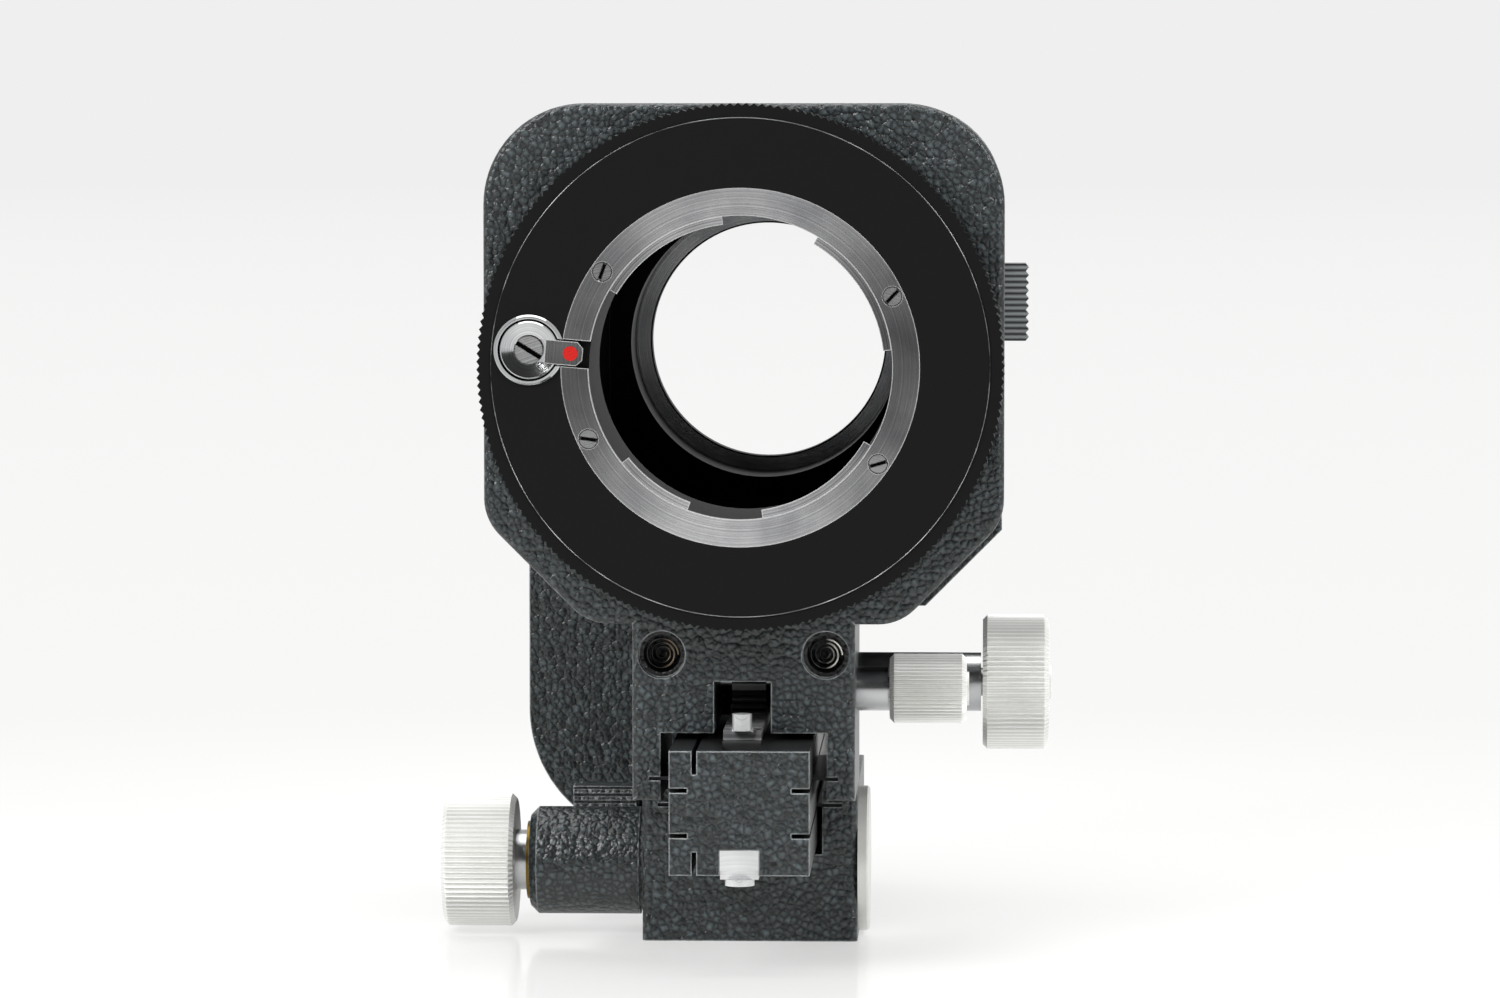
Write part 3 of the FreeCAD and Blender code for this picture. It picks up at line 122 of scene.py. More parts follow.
def material(name):
    """An empty material's node tree, with its shader and output."""
    made = bpy.data.materials.new(name)
    made.use_nodes = True
    tree = made.node_tree
    tree.nodes.clear()
    shader = add(tree, "ShaderNodeBsdfPrincipled")
    add(tree, "ShaderNodeOutputMaterial", {"Surface": (shader, "BSDF")})
    return made, tree, shader


world = bpy.data.worlds.new("WhiteRoom")
bpy.context.scene.world = world
world.use_nodes = True
tree = world.node_tree
tree.nodes.clear()
path = add(tree, "ShaderNodeLightPath")
seen = add(tree, "ShaderNodeMath", operation="MAXIMUM")
tree.links.new(path.outputs["Is Camera Ray"], seen.inputs[0])
tree.links.new(path.outputs["Is Transmission Ray"], seen.inputs[1])
way = add(tree, "ShaderNodeTexCoord")
split = add(tree, "ShaderNodeSeparateXYZ", {"Vector": (way, "Generated")})
bright = add(tree, "ShaderNodeMapRange", {"Value": (split, "Y")},
             {"From Min": DARK_FROM, "From Max": BRIGHT_FROM, "To Min": ROOM_DARK, "To Max": ROOM_BRIGHT},
             interpolation_type="SMOOTHSTEP")
lit = add(tree, "ShaderNodeBackground", {"Strength": (bright, "Result")}, {"Color": (1, 1, 1, 1)})
paper = add(tree, "ShaderNodeBackground", values={"Color": linear(HORIZON_COLOUR), "Strength": 1.0})
room = add(tree, "ShaderNodeMixShader", {"Fac": (seen, "Value")})
tree.links.new(lit.outputs[0], room.inputs[1])
tree.links.new(paper.outputs[0], room.inputs[2])
add(tree, "ShaderNodeOutputWorld", {"Surface": (room, "Shader")})

table_mesh = bpy.data.meshes.new("Table")
half = TABLE_SIZE / 2
table_corners = [(-half, -half, 0), (half, -half, 0), (half, half, 0), (-half, half, 0)]
table_mesh.from_pydata(table_corners, [], [(0, 1, 2, 3)])
table = bpy.data.objects.new("Table", table_mesh)
bpy.context.scene.collection.objects.link(table)
lacquer_and_glow, tree, shader = material("WhiteLacquerAndGlow")
shader.inputs["Base Color"].default_value = linear(TABLE_COLOUR)
shader.inputs["Roughness"].default_value = 0.10
shader.inputs["Specular IOR Level"].default_value = 0.4
# Near the object the table is about half painted glow, which lightens its shadow; farther off the glow
# takes over, its colour fading with distance from the near colour to the horizon's, a painted falloff.
where = add(tree, "ShaderNodeTexCoord")
distance = add(tree, "ShaderNodeVectorMath", {0: (where, "Object")}, operation="LENGTH")
away = add(tree, "ShaderNodeMapRange", {"Value": (distance, "Value")}, {"From Max": FAR_TABLE_END})
fade = add(tree, "ShaderNodeMath", {0: (away, "Result")}, {1: FADE_CURVE}, operation="POWER")
painted_glow_falloff = add(tree, "ShaderNodeMix", {"Factor": (fade, "Value")}, data_type="RGBA")
painted_glow_falloff.inputs[6].default_value = linear(NEAR_GLOW_COLOUR)
painted_glow_falloff.inputs[7].default_value = linear(HORIZON_COLOUR)
glow = add(tree, "ShaderNodeEmission", {"Color": (painted_glow_falloff, 2)})
far = add(tree, "ShaderNodeMapRange", {"Value": (distance, "Value")},
          {"From Min": FAR_TABLE_START, "From Max": FAR_TABLE_FULL, "To Min": TABLE_GLOW},
          interpolation_type="SMOOTHSTEP")
blend = add(tree, "ShaderNodeMixShader", {"Fac": (far, "Result")})
tree.links.new(shader.outputs["BSDF"], blend.inputs[1])
tree.links.new(glow.outputs["Emission"], blend.inputs[2])
output = next(n for n in tree.nodes if n.type == "OUTPUT_MATERIAL")
tree.links.new(blend.outputs["Shader"], output.inputs["Surface"])
table_mesh.materials.append(lacquer_and_glow)

for name, place, aim, wide, power in (
    ("KeySoftBox", (-0.75, -0.95, 0.85), (0, 0, 0.08), 0.7, 17.0),
    ("FillSoftBox", (0.85, -0.85, 0.75), (0, 0, 0.08), 0.6, 10.0),
    ("TopSoftBox", (0.0, 0.1, 1.3), (0, 0, 0.0), 1.2, 13.0),
):
    lamp = bpy.data.lights.new(name, "AREA")
    lamp.size = wide
    lamp.energy = power
    holder = bpy.data.objects.new(name, lamp)
    spot = Vector(place)
    facing = (Vector(aim) - spot).to_track_quat("-Z", "Y").to_matrix().to_4x4()
    holder.matrix_world = Matrix.Translation(spot) @ facing
    bpy.context.scene.collection.objects.link(holder)

# Castings
# The base, both standards, the barrel, the lever and the rail's end plate are light-alloy castings
# in hammertone enamel: a glossy charcoal paint that draws into cells about 1.2 mm across, painted
# pale as highlight on their domes and dark as shade in the creases between them.
CELL = 0.00122
FINE_CELL = 0.0007
CELL_WANDER = 0.6
CELL_RANDOMNESS = 0.85
CREASE_SHARE = 0.16
DOME_SHARE = 0.45
PAINT_RELIEF = 0.00023
FINE_RELIEF = 0.35
EDGE_WEAR_AND_LIGHT_STRENGTH = 1.15
DOME_HIGHLIGHT_COLOUR = "#485153"
FILM_COLOUR = "#272D2F"
CREASE_SHADE_COLOUR = "#0F1213"
EDGE_WEAR_AND_HIGHLIGHT_COLOUR = "#C4C9CA"
EDGE_MARK_WIDTH = 0.00045
SOCKET_PLACE = (0.0142, 0.0, 0.0537)
SOCKET_RADIUS = 0.00385
SOCKET_DEPTH = 0.0105

hammertone, tree, shader = material("HammertoneEnamel")
where = add(tree, "ShaderNodeTexCoord")
wander = add(tree, "ShaderNodeTexNoise", {"Vector": (where, "Object")},
             {"Scale": 0.5 / CELL, "Detail": 2.0})
drift = add(tree, "ShaderNodeVectorMath", {0: (wander, "Color")},
            {1: (CELL * CELL_WANDER,) * 3}, operation="MULTIPLY")
warped = add(tree, "ShaderNodeVectorMath", {0: (where, "Object"), 1: (drift, "Vector")}, operation="ADD")
cells = add(tree, "ShaderNodeTexVoronoi", {"Vector": (warped, "Vector")},
            {"Scale": 1 / CELL, "Randomness": CELL_RANDOMNESS})
fine = add(tree, "ShaderNodeTexVoronoi", {"Vector": (warped, "Vector")},
           {"Scale": 1 / FINE_CELL, "Randomness": 0.9})
edges = add(tree, "ShaderNodeTexVoronoi", {"Vector": (warped, "Vector")},
            {"Scale": 1 / CELL, "Randomness": CELL_RANDOMNESS}, feature="DISTANCE_TO_EDGE")
# Painted light and shade: each cell is pale on its dome, a painted highlight, and dark in its creases,
# painted shade.
painted_dome_shading = add(tree, "ShaderNodeValToRGB", {"Fac": (edges, "Distance")})
painted_dome_shading.color_ramp.elements[0].position = 0.0
painted_dome_shading.color_ramp.elements[0].color = linear(CREASE_SHADE_COLOUR)
painted_dome_shading.color_ramp.elements[1].position = DOME_SHARE
painted_dome_shading.color_ramp.elements[1].color = linear(DOME_HIGHLIGHT_COLOUR)
painted_dome_shading.color_ramp.elements.new(CREASE_SHARE).color = linear(FILM_COLOUR)
pooled = add(tree, "ShaderNodeSeparateColor", {"Color": (cells, "Color")})
depth = add(tree, "ShaderNodeMapRange", {"Value": (pooled, "Red")}, {"To Min": 0.7, "To Max": 1.25})
varied = add(tree, "ShaderNodeVectorMath", {0: (painted_dome_shading, "Color"), "Scale": (depth, "Result")},
             operation="SCALE")
# The edges are painted pale, patchy along their length: partly wear, partly a painted highlight of the
# light that the rounded edges catch.
rounded = add(tree, "ShaderNodeBevel", values={"Radius": EDGE_MARK_WIDTH}, samples=6)
plain = add(tree, "ShaderNodeNewGeometry")
facing = add(tree, "ShaderNodeVectorMath", {0: (rounded, "Normal"), 1: (plain, "Normal")},
             operation="DOT_PRODUCT")
edge = add(tree, "ShaderNodeMapRange", {"Value": (facing, "Value")},
           {"From Min": 0.985, "From Max": 0.9})
edge_wear_and_light = add(tree, "ShaderNodeMath", {0: (edge, "Result"), 1: (wander, "Fac")}, operation="MULTIPLY")
edge_wear_and_light = add(tree, "ShaderNodeMath", {0: (edge_wear_and_light, "Value")}, {1: EDGE_WEAR_AND_LIGHT_STRENGTH}, operation="MULTIPLY")
edge_wear_and_highlight = add(tree, "ShaderNodeMix", {"Factor": (edge_wear_and_light, "Value"), 6: (varied, "Vector")}, data_type="RGBA")
edge_wear_and_highlight.inputs[7].default_value = linear(EDGE_WEAR_AND_HIGHLIGHT_COLOUR)
# Inside the two accessory sockets, up to SOCKET_DEPTH behind the front standard's face, the colour gives
# way to near black: painted shade in the hollows.
mirrored = add(tree, "ShaderNodeVectorMath", {0: (where, "Object")}, operation="ABSOLUTE")
offset = add(tree, "ShaderNodeVectorMath", {0: (mirrored, "Vector")}, {1: SOCKET_PLACE},
             operation="SUBTRACT")
flat = add(tree, "ShaderNodeVectorMath", {0: (offset, "Vector")}, {1: (1, 0, 1)}, operation="MULTIPLY")
away = add(tree, "ShaderNodeVectorMath", {0: (flat, "Vector")}, operation="LENGTH")
near = add(tree, "ShaderNodeMath", {0: (away, "Value")}, {1: SOCKET_RADIUS}, operation="LESS_THAN")
split = add(tree, "ShaderNodeSeparateXYZ", {"Vector": (where, "Object")})
front = add(tree, "ShaderNodeMath", {0: (split, "Y")}, {1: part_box("front_standard")[0].y + SOCKET_DEPTH},
            operation="LESS_THAN")
inside = add(tree, "ShaderNodeMath", {0: (near, "Value"), 1: (front, "Value")}, operation="MULTIPLY")
black = add(tree, "ShaderNodeMix", {"Factor": (inside, "Value"), 6: (edge_wear_and_highlight, 2)}, data_type="RGBA")
black.inputs[7].default_value = linear("#0B0B0B")
tree.links.new(black.outputs[2], shader.inputs["Base Color"])
dome = add(tree, "ShaderNodeMath", {0: (cells, "Distance")}, {1: 2.0}, operation="POWER")
small = add(tree, "ShaderNodeMath", {0: (fine, "Distance")}, {1: 2.0}, operation="POWER")
low = add(tree, "ShaderNodeMath", {0: (small, "Value")}, {1: FINE_RELIEF}, operation="MULTIPLY")
sunk = add(tree, "ShaderNodeMath", {0: (dome, "Value"), 1: (low, "Value")}, operation="ADD")
skin = add(tree, "ShaderNodeMath", {0: (sunk, "Value")}, {1: -1.0}, operation="MULTIPLY")
relief = add(tree, "ShaderNodeBump", {"Height": (skin, "Value"), "Normal": (rounded, "Normal")},
             {"Strength": 1.0, "Distance": PAINT_RELIEF})
tree.links.new(relief.outputs["Normal"], shader.inputs["Normal"])
shader.inputs["Roughness"].default_value = 0.32
shader.inputs["Specular IOR Level"].default_value = 0.6


def finish_with(made, *names):
    """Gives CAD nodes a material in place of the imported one."""
    for name in names:
        slots = nodes[name].data.materials
        for n in range(len(slots)):
            slots[n] = made


finish_with(hammertone, "base_block", "focus_barrel", "base_lock_lever", "rail_front_cap",
            "rear_standard", "front_standard")

# Knobs
# The three knobs are turned from aluminium, fluted and satin anodised: pale grey, with fine turning
# marks on their flat ends. Their edges are painted white, a painted highlight along the crests.
KNOB_COLOUR = "#EDEDEA"
KNOB_MARK = "#DADAD6"
KNOB_METALLIC = 0.55  # the satin oxide skin scatters part of the light
TURNING_MARK = 0.00035
PATCH_SIZE = 1 / 90
BORE_BLACK = "#060606"
BORE_ROUGHNESS = 0.65
EDGE_REACH = 0.00028


def turned_metal(name, pale, dark, mark, roughness, axis_place, across, metallic=1.0, bore=None,
                 edge=None, fans=(), slot_from=None):
    """Metal off a lathe: rings about an axis, drawn by the distance from it. Inside the bore it is
    black, its edges are painted in the edge colour, a highlight where it is pale and shade where it
    is dark, a faced ring takes a painted sheen in two fans, above and below, and a screw's slot is
    painted dark as shade behind slot_from."""
    made, tree, shader = material(name)
    where = add(tree, "ShaderNodeTexCoord")
    centred = add(tree, "ShaderNodeVectorMath", {0: (where, "Object")}, {1: axis_place},
                  operation="SUBTRACT")
    flat = add(tree, "ShaderNodeVectorMath", {0: (centred, "Vector")}, {1: across}, operation="MULTIPLY")
    radius = add(tree, "ShaderNodeVectorMath", {0: (flat, "Vector")}, operation="LENGTH")
    rings = add(tree, "ShaderNodeTexNoise", {"W": (radius, "Value")},
                {"Scale": 1 / mark, "Detail": 3.0, "Roughness": 0.7}, noise_dimensions="1D")
    patches = add(tree, "ShaderNodeTexNoise", {"Vector": (where, "Object")}, {"Scale": 1 / PATCH_SIZE,
                                                                              "Detail": 3.0})
    both = add(tree, "ShaderNodeMath", {0: (rings, "Fac"), 1: (patches, "Fac")}, operation="MULTIPLY")
    tone = add(tree, "ShaderNodeMapRange", {"Value": (both, "Value")}, {"From Min": 0.12,
                                                                        "From Max": 0.42})
    tint = add(tree, "ShaderNodeMix", {"Factor": (tone, "Result")}, data_type="RGBA")
    tint.inputs[6].default_value = linear(dark)
    tint.inputs[7].default_value = linear(pale)
    colour = tint.outputs[2]
    shader.inputs["Metallic"].default_value = metallic
    # Painted sheen: the colour is dimmed to the sides and brightened above and below.
    if fans:
        split = add(tree, "ShaderNodeSeparateXYZ", {"Vector": (flat, "Vector")})
        upright = add(tree, "ShaderNodeMath", {0: (split, "Z"), 1: (radius, "Value")}, operation="DIVIDE")
        lobe = add(tree, "ShaderNodeMath", {0: (upright, "Value")}, {1: 2.0}, operation="POWER")
        shine = add(tree, "ShaderNodeMapRange", {"Value": (lobe, "Value")}, {"To Min": fans[0],
                                                                             "To Max": fans[1]})
        painted_fan_sheen = add(tree, "ShaderNodeVectorMath", {0: (tint, 2), "Scale": (shine, "Result")},
                     operation="SCALE")
        colour = painted_fan_sheen.outputs["Vector"]
    # Painted edge lines: a highlight where the edge colour is pale, shade where it is dark.
    if edge:
        rounded = add(tree, "ShaderNodeBevel", values={"Radius": EDGE_REACH}, samples=6)
        plain = add(tree, "ShaderNodeNewGeometry")
        facing = add(tree, "ShaderNodeVectorMath", {0: (rounded, "Normal"), 1: (plain, "Normal")},
                     operation="DOT_PRODUCT")
        near = add(tree, "ShaderNodeMapRange", {"Value": (facing, "Value")}, {"From Min": 0.99,
                                                                              "From Max": 0.93})
        lined = add(tree, "ShaderNodeMix", {"Factor": (near, "Result")}, data_type="RGBA")
        tree.links.new(colour, lined.inputs[6])
        lined.inputs[7].default_value = linear(edge)
        colour = lined.outputs[2]
    # Painted shade in a screw's slot.
    if slot_from:
        split = add(tree, "ShaderNodeSeparateXYZ", {"Vector": (where, "Object")})
        sunk = add(tree, "ShaderNodeMath", {0: (split, "Y")}, {1: slot_from}, operation="GREATER_THAN")
        painted_slot_shade = add(tree, "ShaderNodeMix", {"Factor": (sunk, "Value")}, data_type="RGBA")
        tree.links.new(colour, painted_slot_shade.inputs[6])
        painted_slot_shade.inputs[7].default_value = linear("#0C0B0A")
        colour = painted_slot_shade.outputs[2]
    gloss = add(tree, "ShaderNodeMapRange", {"Value": (rings, "Fac")},
                {"To Min": roughness * 0.8, "To Max": roughness * 1.2})
    rough, height = gloss.outputs["Result"], rings.outputs["Fac"]
    if bore:
        outside = add(tree, "ShaderNodeMath", {0: (radius, "Value")}, {1: bore}, operation="GREATER_THAN")
        black = add(tree, "ShaderNodeMix", {"Factor": (outside, "Value")}, data_type="RGBA")
        black.inputs[6].default_value = linear(BORE_BLACK)
        tree.links.new(colour, black.inputs[7])
        colour = black.outputs[2]
        tree.links.new(outside.outputs["Value"], shader.inputs["Metallic"])
        dull = add(tree, "ShaderNodeMapRange", {"Value": (outside, "Value")},
                   {"To Min": BORE_ROUGHNESS, "To Max": roughness})
        rough = dull.outputs["Result"]
        even = add(tree, "ShaderNodeMath", {0: (rings, "Fac"), 1: (outside, "Value")},
                   operation="MULTIPLY")
        height = even.outputs["Value"]
    tree.links.new(colour, shader.inputs["Base Color"])
    tree.links.new(rough, shader.inputs["Roughness"])
    ripple = add(tree, "ShaderNodeBump", values={"Strength": 0.35, "Distance": mark * 0.05})
    tree.links.new(height, ripple.inputs["Height"])
    tree.links.new(ripple.outputs["Normal"], shader.inputs["Normal"])
    return made


def middle(name):
    """The middle of a CAD node's box."""
    low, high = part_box(name)
    return tuple((low + high) / 2)


ABOUT_X = (0, 1, 1)
ABOUT_Y = (1, 0, 1)
for knob in ("focus_knob", "extension_knob", "lock_knob"):
    finish_with(turned_metal(f"SatinAluminium_{knob}", KNOB_COLOUR, KNOB_MARK, TURNING_MARK, 0.45,
                             middle(knob), ABOUT_X, metallic=KNOB_METALLIC,
                             edge="#FFFFFF"), knob)

# Shafts, sleeves and screws
# Plain turned steel, a little darker than the knobs.
STEEL_COLOUR = "#C9CACB"
STEEL_MARK = "#A5A6A8"
for shaft in ("focus_shaft", "extension_shaft", "extension_sleeve", "lock_sleeve", "lock_screw",
              "base_lock_screw"):
    finish_with(turned_metal(f"TurnedSteel_{shaft}", STEEL_COLOUR, STEEL_MARK, TURNING_MARK, 0.24,
                             middle(shaft), ABOUT_X), shaft)
cut_steel = turned_metal("CutSteel", "#A9AAAB", "#6E6F71", TURNING_MARK, 0.3, (0, 0, 0), (0, 1, 0))
finish_with(cut_steel, "upper_rack", "focus_pinion", "extension_pinion", "tripod_bush",
            "rail_screws", "camera_screws")
finish_with(turned_metal("SatinCover", KNOB_COLOUR, KNOB_MARK, TURNING_MARK, 0.42,
                         middle("base_side_cover"),
                         ABOUT_X, metallic=0.5), "base_side_cover")
bright_steel = turned_metal("BrightSteel", "#E2E3E4", "#BFC0C1", TURNING_MARK, 0.3, (0, 0, 0), (1, 1, 1),
                            metallic=0.6)
finish_with(bright_steel, "rack_stop_screw", "rack_end_screw", "lower_rack")
blued = turned_metal("BluedSpringSteel", "#3A3B3D", "#242526", TURNING_MARK, 0.35, (0, 0, 0), (0, 1, 0))
finish_with(blued, "base_gib_left", "base_gib_right", "front_gib_left", "front_gib_right")
brass = turned_metal("TurnedBrass", "#8C7436",
                     "#5E4C1E", TURNING_MARK, 0.3, middle("focus_bush"), ABOUT_X)
finish_with(brass, "focus_bush", "brake_plug")

# Lens bayonet and lock
# Chromed brass, faced on a lathe: rings about the optical axis show as fine bright and dark lines.
# The lock's button has rings about its own middle.
axis = tuple(ring_centre)
FACING_MARK = 0.00028
SCREW_MARK = 0.0003
POLISHING_MARK = 0.0004
SLOT_FLOOR = 0.00012
# The faced ring's colour carries a painted sheen, bright in two fans above and below the axis and dim to
# the sides, and its edges are painted white as a highlight.
FACED_DIM = 0.2
FACED_BRIGHT = 0.85
bayonet_chrome = turned_metal("FacedChrome", "#F2F2F3", "#A4A5A8", FACING_MARK, 0.26, axis, ABOUT_Y,
                              metallic=0.9, edge="#FFFFFF", fans=(FACED_DIM, FACED_BRIGHT))
finish_with(bayonet_chrome, "lens_bayonet", "lock_tongue")
THROAT_MARGIN = 0.0003
CAMERA_THROAT = 0.0225
finish_with(turned_metal("ChromeWithBlackBore", "#C4C5C6", "#85878A", FACING_MARK, 0.26, axis, ABOUT_Y,
                         bore=CAMERA_THROAT + THROAT_MARGIN), "camera_bayonet")
button_chrome = turned_metal("PolishedChrome", "#D6D7D8", "#A8AAAC", POLISHING_MARK, 0.12,
                             middle("lock_button"), ABOUT_Y)
finish_with(button_chrome, "lock_button", "lock_bezel", "lock_spring")
# Each screw's slot is painted near black behind SLOT_FLOOR as shade, and its edges are painted dark as
# shade.
for screws in ("lens_screws", "lock_button_screw"):
    finish_with(turned_metal(f"Nickel_{screws}", "#C2C3C2",
                             "#8C8D8E", SCREW_MARK, 0.25, (0, 0, 0), (1, 1, 1),
                             edge="#1C1B1A", slot_from=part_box(screws)[0].y + SLOT_FLOOR), screws)

# Black rings and rail
# Light alloy under a matte black coat, so even that it shows only a fine grain and the sheen of
# its turned edges.
BLACK_COLOUR = "#0C0C0C"
BLACK_GRAIN = 0.0004


def black_coat(name, colour, roughness, grain, specular=0.35):
    """A black coat over metal with a fine grain in its gloss."""
    made, tree, shader = material(name)
    where = add(tree, "ShaderNodeTexCoord")
    specks = add(tree, "ShaderNodeTexNoise", {"Vector": (where, "Object")}, {"Scale": 1 / grain,
                                                                             "Detail": 4.0})
    gloss = add(tree, "ShaderNodeMapRange", {"Value": (specks, "Fac")},
                {"To Min": roughness * 0.85, "To Max": roughness * 1.15})
    tree.links.new(gloss.outputs["Result"], shader.inputs["Roughness"])
    tooth = add(tree, "ShaderNodeBump", {"Height": (specks, "Fac")}, {"Strength": 0.25,
                                                                      "Distance": grain * 0.1})
    tree.links.new(tooth.outputs["Normal"], shader.inputs["Normal"])
    shader.inputs["Base Color"].default_value = linear(colour)
    shader.inputs["Specular IOR Level"].default_value = specular
    return made


finish_with(black_coat("MatteBlackCoat", BLACK_COLOUR, 0.5, BLACK_GRAIN, 0.12), "lens_ring",
            "lens_retainer",
            "camera_ring", "camera_retainer")
finish_with(black_coat("BlackAnodised", "#1A1B1C", 0.38, BLACK_GRAIN), "rail", "bellows_front_frame",
            "bellows_rear_frame")
# The release's serrations are painted as stripes along Z: pale bands for lit ridges and dark bands for
# shaded grooves, painted light and shade.
SERRATION = 0.0011
release_coat = black_coat("SerratedGreySatin", "#3B3F41", 0.35, BLACK_GRAIN, 0.6)
tree = release_coat.node_tree
shader = next(n for n in tree.nodes if n.type == "BSDF_PRINCIPLED")
where = add(tree, "ShaderNodeTexCoord")
teeth = add(tree, "ShaderNodeTexWave", {"Vector": (where, "Object")}, {"Scale": math.pi / 10 / SERRATION},
            bands_direction="Z")
painted_ridge_shading = add(tree, "ShaderNodeMix", {"Factor": (teeth, "Fac")}, data_type="RGBA")
painted_ridge_shading.inputs[6].default_value = linear("#17191A")
painted_ridge_shading.inputs[7].default_value = linear("#8B9092")
tree.links.new(painted_ridge_shading.outputs[2], shader.inputs["Base Color"])
finish_with(release_coat, "rotation_release")

# Lens ring's edge
# Where the ring's face steps down to its knurled band, a hair-thin ring of pale alloy shows where
# handling has taken the black off, and stands in for the highlight that the step's edge catches.
EDGE_RADIUS = 0.0425
EDGE_THICK = 0.0001
EDGE_SEGMENTS = 256
EDGE_SIDES = 4
EDGE_PATCH = 0.004
TURN_UP = Matrix.Rotation(math.radians(90), 4, "X")


def fitted(made_object, body):
    """Attaches a finished piece to its body, when it is given one."""
    if body:
        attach(made_object, body)


bpy.ops.mesh.primitive_torus_add(major_radius=EDGE_RADIUS, minor_radius=EDGE_THICK,
                                 major_segments=EDGE_SEGMENTS, minor_segments=EDGE_SIDES)
edge_line = bpy.context.active_object
edge_line.name = "lens_ring_edge_wear_and_highlight"
bpy.ops.object.shade_smooth()
edge_line.data.transform(Matrix.Translation(ring_centre) @ TURN_UP)
edge_line.data.materials.append(turned_metal("RubbedAlloyAndHighlight", "#B9BABB", "#3A3A3B", EDGE_PATCH, 0.35,
                                             (0, 0, 0), (1, 1, 1)))
fitted(edge_line, "lens_ring")

# Socket threads
# Each accessory socket is tapped in the casting. What shows of its thread are arcs that wind in
# towards the bottom. Their light is painted: each arc is painted dark as shade on its left half, and
# the right-hand socket's arcs are painted pale as lit, the left-hand one's dull brown as shaded.
THREAD_PITCH = 0.0011
THREAD_TURNS = 3
THREAD_TAPER = 0.00075
THREAD_RIDGE = 0.00019
THREAD_SIDES = 3
THREAD_STEPS = 48
THREAD_START = 0.00065
SOCKET_BORE = 0.0031
THREAD_SHADE = "#0B0B0B"
ALONG_Y = Matrix.Rotation(math.radians(-90), 4, "X")


def sized_tree(name, **sizes):
    """An empty Geometry Nodes tree with a named input for each size, and its input node."""
    tree = bpy.data.node_groups.new(name, "GeometryNodeTree")
    tree.interface.new_socket("Geometry", in_out="OUTPUT", socket_type="NodeSocketGeometry")
    for label, kind in sizes.items():
        tree.interface.new_socket(label, in_out="INPUT", socket_type=f"NodeSocket{kind}")
    return tree, add(tree, "NodeGroupInput")


def finished(tree, given, shape):
    """Ends a tree with real geometry in its material."""
    real = add(tree, "GeometryNodeRealizeInstances", {0: (shape, 0)})
    painted = add(tree, "GeometryNodeSetMaterial", {0: (real, 0), "Material": (given, "material")})
    add(tree, "NodeGroupOutput", {0: (painted, 0)})


def grown(name, tree, place, **sizes):
    """What a tree makes of these sizes, as a plain closed mesh in its place."""
    made_object = bpy.data.objects.new(name, bpy.data.meshes.new(name))
    bpy.context.scene.collection.objects.link(made_object)
    modifier = made_object.modifiers.new("Grown", "NODES")
    modifier.node_group = tree
    for item in tree.interface.items_tree:
        if item.in_out == "INPUT":
            modifier[item.identifier] = sizes[item.name]
    evaluated = made_object.evaluated_get(bpy.context.evaluated_depsgraph_get())
    plain = bpy.data.meshes.new_from_object(evaluated)
    made_object.modifiers.clear()
    made_object.data = plain
    plain.transform(place)
    closed = bmesh.new()
    closed.from_mesh(plain)
    bmesh.ops.recalc_face_normals(closed, faces=closed.faces)
    closed.to_mesh(plain)
    closed.free()
    return made_object


wound_wire, given = sized_tree("WoundWire", turns="Float", start_radius="Float", end_radius="Float",
                               length="Float", steps="Int", wire="Float", sides="Int", material="Material")
path = add(wound_wire, "GeometryNodeCurveSpiral",
           {"Rotations": (given, "turns"), "Start Radius": (given, "start_radius"),
            "End Radius": (given, "end_radius"), "Height": (given, "length"), "Resolution": (given,
                                                                                             "steps")})
section = add(wound_wire, "GeometryNodeCurvePrimitiveCircle",
              {"Radius": (given, "wire"), "Resolution": (given, "sides")})
tube = add(wound_wire, "GeometryNodeCurveToMesh",
           {"Curve": (path, "Curve"), "Profile Curve": (section, "Curve")}, {"Fill Caps": True})
finished(wound_wire, given, add(wound_wire, "GeometryNodeSetShadeSmooth", {0: (tube, "Mesh")}))

for name, side, pale in (("right", 1, "#F4F1EA"), ("left", -1, "#7A6A58")):
    socket_centre = Vector((side * SOCKET_PLACE[0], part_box("front_standard")[0].y, SOCKET_PLACE[2]))
    tapped = turned_metal(f"TappedAlloy_{name}", pale, pale, SCREW_MARK, 0.3, (0, 0, 0), (0, 1, 0),
                          metallic=0.2)
    tree = tapped.node_tree
    shader = next(n for n in tree.nodes if n.type == "BSDF_PRINCIPLED")
    where = add(tree, "ShaderNodeTexCoord")
    split = add(tree, "ShaderNodeSeparateXYZ", {"Vector": (where, "Object")})
    lit = add(tree, "ShaderNodeMapRange", {"Value": (split, "X")},
              {"From Min": socket_centre.x, "From Max": socket_centre.x + SOCKET_BORE / 2})
    glint = add(tree, "ShaderNodeMix", {"Factor": (lit, "Result")}, data_type="RGBA")
    glint.inputs[6].default_value = linear(THREAD_SHADE)
    tree.links.new(shader.inputs["Base Color"].links[0].from_socket, glint.inputs[7])
    tree.links.new(glint.outputs[2], shader.inputs["Base Color"])
    thread = grown(f"socket_thread_{name}", wound_wire,
                   Matrix.Translation(socket_centre + Vector((0, THREAD_START, 0))) @ ALONG_Y,
                   turns=THREAD_TURNS, start_radius=SOCKET_BORE - THREAD_RIDGE,
                   end_radius=SOCKET_BORE - THREAD_RIDGE - THREAD_TAPER * THREAD_TURNS,
                   length=THREAD_PITCH * THREAD_TURNS, steps=THREAD_STEPS, wire=THREAD_RIDGE,
                   sides=THREAD_SIDES, material=tapped)
    fitted(thread, "front_standard")

